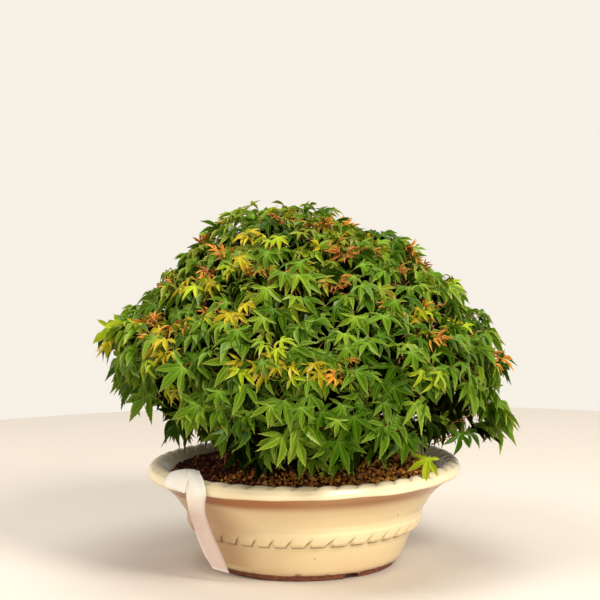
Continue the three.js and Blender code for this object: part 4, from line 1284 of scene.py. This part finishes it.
    # thin bare twigs among the low leaves
    rnd = np.random.default_rng(2025)
    for i in range(34):
        az = math.radians((i * 137.5 + 20) % 360)
        z = 100 + 42 * rnd.random()
        out = float(leaf_radius((math.degrees(az) + 180) % 360 - 180, z)) - rnd.uniform(8, 40)
        a = np.array([SHIFT_X + math.cos(az) * (out - 46), math.sin(az) * (out - 46), z - rnd.uniform(-6, 10)])
        turn = az + rnd.normal(0, 0.28)
        b = np.array([SHIFT_X + math.cos(turn) * out, math.sin(turn) * out, z + rnd.uniform(-8, 10)])
        mid = (a + b) / 2 + rnd.normal(0, 2.0, 3)
        line = catmull([a, mid, b], np.linspace(0, 1, 6))
        tube(twigs, line, np.linspace(0.78, 0.34, 6), 5)
        fork = line[3] + (b - a) * 0.25 + rnd.normal(0, 5.0, 3)
        tube(twigs, [line[3], (line[3] + fork) / 2 + (0, 0, 1.0), fork], [0.5, 0.42, 0.28], 4)

    # single leaves that stand clear of the rest
    for base, along, face, size, kind in LONE_LEAVES:
        base, along, face = np.array(base, float), unit(along), np.array(face, float)
        face = unit(face - along * face.dot(along))
        leaves.setdefault(kind, []).append(("young" if kind == "orange" else "fine", int(rnd.integers(8)), base, along, face, size, 0.75))
        inward = unit(np.array([SHIFT_X - base[0], -base[1], 0.0]))
        start = base + inward * 13 - along * 3 + (0, 0, 3)
        stalks.append((start, base, unit(base - start)))

    # deep, base, along the veins, at the tips, along the margins (partly a painted highlight); green_shade to green_d
    # are one green painted from shade to light
    finishes = {
        "green_shade": (srgb(8, 12, 0), srgb(15, 23, 0), srgb(26, 36, 2), srgb(24, 29, 2), srgb(20, 27, 1)),
        "green_a": (srgb(16, 30, 0), srgb(30, 51, 1), srgb(58, 82, 12), srgb(54, 62, 12), srgb(48, 67, 8)),
        "green_b": (srgb(32, 62, 0), srgb(60, 97, 3), srgb(114, 148, 38), srgb(124, 130, 46), srgb(100, 132, 30)),
        "green_c": (srgb(60, 98, 4), srgb(94, 134, 12), srgb(158, 184, 70), srgb(176, 172, 88), srgb(150, 172, 64)),
        "green_d": (srgb(82, 118, 6), srgb(120, 153, 18), srgb(182, 200, 84), srgb(196, 188, 98), srgb(178, 190, 82)),
        "green_e": (srgb(90, 110, 6), srgb(130, 146, 16), srgb(182, 184, 70), srgb(194, 172, 82), srgb(184, 178, 76)),
        "lime": (srgb(124, 150, 4), srgb(168, 188, 20), srgb(200, 208, 66), srgb(206, 186, 84), srgb(206, 204, 84)),
        "yellow": (srgb(146, 138, 4), srgb(196, 182, 28), srgb(196, 172, 48), srgb(214, 142, 56), srgb(226, 192, 86)),
        "orange": (srgb(146, 84, 8), srgb(218, 152, 44), srgb(134, 66, 18), srgb(220, 140, 66), srgb(244, 196, 110)),
        "red": (srgb(108, 54, 8), srgb(186, 114, 38), srgb(92, 36, 10), srgb(212, 134, 66), srgb(238, 174, 100)),
    }
    total = 0
    for kind, (deep, base, rib, tip, edge) in finishes.items():
        mat = leaf_material("leaf_" + kind, deep, base, rib, tip, edge, 0.72 if kind in ("orange", "red") else 0.50,
                            {"green_shade": 0.0, "green_a": 0.04, "green_b": 0.12}.get(kind, 0.18))
        items = leaves.get(kind, [])
        cost = np.cumsum([len(sets[i[0]][i[1]][1]) for i in items])
        parts = int(cost[-1] // 185000) + 1
        total += int(cost[-1])
        for part in range(parts):
            mine = [i for i, c in zip(items, cost) if int((c - 1) * parts // cost[-1]) == part]
            heap = Heap("rib", "end", "tone")
            for group, which in sorted({(i[0], i[1]) for i in mine}):
                same = [i for i in mine if i[0] == group and i[1] == which]
                co, tri, rb, en = sets[group][which]
                P, Y, Z = (np.array([i[q] for i in same]) for q in (2, 3, 4))
                S, tone = (np.array([i[q] for i in same]) for q in (5, 6))
                X = np.cross(Y, Z)
                w = co[None] * S[:, None, None]
                pts = P[:, None] + w[..., :1] * X[:, None] + w[..., 1:2] * Y[:, None] + w[..., 2:] * Z[:, None]
                k, v = len(same), len(co)
                f = (tri[None] + (np.arange(k) * v)[:, None, None]).reshape(-1, 3)
                heap.add(pts.reshape(-1, 3), f, rib=np.tile(rb, k), end=np.tile(en, k), tone=np.repeat(tone, v))
            ob = heap.piece("leaves_" + kind + (f"_{part + 1}" if parts > 1 else ""), [mat], crease="rib")
            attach(ob, "root")
    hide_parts(*[m["name"] for m in MASSES])

    # ---- leaf stalks
    heap = Heap()
    for a, b, go in stalks:
        mid = a + (b - a) * 0.55 + go * 0.9
        tube(heap, [a, mid, b], [0.30, 0.24, 0.20], 3, caps=False)
    ob = heap.piece("leaf_stalks", [stalk_material()])
    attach(ob, "root")

    ob = wood.piece("branches", [bark_material("branch_bark", srgb(74, 48, 32), srgb(128, 88, 58), srgb(168, 126, 88), 1.6)])
    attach(ob, "root")
    ob = twigs.piece("twigs", [twig_material()])
    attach(ob, "root")
    print("sprays", len(tips), "leaves", len(stalks), "leaf triangles", total,
          "branches", sum(map(len, wood.quad)), "twigs", sum(map(len, twigs.quad)))


def stalk_material():
    m = Nodes("leaf_stalk")
    m.link(m.ramp(m.noise(60.0, 2.0), (0.35, srgb(120, 120, 40)), (0.6, srgb(168, 96, 52)), (0.8, srgb(176, 70, 44))),
           m.bsdf.inputs["Base Color"])
    m.bsdf.inputs["Roughness"].default_value = 0.5
    return m.mat


# ============================================================ paper strip over the rim
TAG_LONG = (
    ((-87.5, -66, 80.2), (-80, -70, 80.2)), ((-88.5, -76, 88.6), (-80, -79.5, 89.2)), ((-89.6, -87.5, 90.2), (-79.4, -89, 89.8)),
    ((-90.2, -93, 84.6), (-75.8, -98, 84.6)), ((-89.9, -95.5, 76.3), (-73.9, -104, 77)), ((-89.2, -94.5, 68.9), (-75.2, -100.5, 69.1)),
    ((-88, -91.5, 60.6), (-75.4, -96.5, 60.8)), ((-83.9, -81, 42.1), (-71.6, -85.5, 43.8)), ((-78.1, -74.5, 24.4), (-65.4, -79, 26.3)),
    ((-71.3, -70, 11.1), (-58.8, -73.5, 8.0)),
)
TAG_SHORT = (
    ((-93, -63, 80.2), (-85, -67.5, 80.2)), ((-94.5, -71, 88.2), (-82.5, -76.5, 89.3)), ((-102.5, -77.5, 88), (-85.5, -86.5, 89.4)),
    ((-106.6, -82, 83.6), (-88, -95, 84.2)), ((-107.6, -82.5, 79.4), (-90.8, -97.5, 75.7)),
)


def make_tag():
    heap = Heap("tag_low_shade")
    for rows, count, lift in ((TAG_LONG, 60, 0.0), (TAG_SHORT, 34, 0.35)):
        left = catmull([r[0] for r in rows], np.linspace(0, 1, count))
        right = catmull([r[1] for r in rows], np.linspace(0, 1, count))
        across = 9
        w = np.linspace(0, 1, across)
        sheet = left[:, None] * (1 - w)[None, :, None] + right[:, None] * w[None, :, None]
        du = np.gradient(sheet, axis=0)
        dv = np.gradient(sheet, axis=1)
        nrm = unit(np.cross(du, dv))
        s = np.linspace(0, 1, count)[:, None]
        cup = 0.9 * np.sin(math.pi * w)[None] * np.sin(math.pi * s) + 0.18 * np.sin(9 * s + 3 * w[None])
        sheet = sheet + nrm * (cup + lift)[..., None]
        thick = 0.22
        both = np.concatenate([(sheet + nrm * thick).reshape(-1, 3), (sheet - nrm * thick).reshape(-1, 3)])
        m = count * across
        i = np.arange(count - 1)[:, None] * across
        j = np.arange(across - 1)[None]
        q = np.stack([i + j, i + j + 1, i + across + j + 1, i + across + j], -1).reshape(-1, 4)
        quads = [q[:, ::-1], q + m]
        rim = [(k * across, (k + 1) * across) for k in range(count - 1)]
        rim += [((count - 1) * across + k, (count - 1) * across + k + 1) for k in range(across - 1)]
        rim += [((k + 1) * across - 1 + across, (k + 1) * across - 1) for k in range(count - 2, -1, -1)]
        rim += [(k + 1, k) for k in range(across - 2, -1, -1)]
        quads.append(np.array([(a, b, b + m, a + m) for a, b in rim]))
        tag_low_shade = np.repeat(1 - smoothstep(sheet[..., 2], 52, 84), 1, axis=0).reshape(-1)
        heap.add(both, None, np.concatenate(quads), tag_low_shade=np.concatenate([tag_low_shade, tag_low_shade]))
    ob = heap.piece("paper_strip", [paper_material()])
    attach(ob, "root")
    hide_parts("paper_tag")


# ============================================================ build
make_camera()
make_stage()
make_pot()
make_soil()
make_foliage(make_trunk())
make_tag()
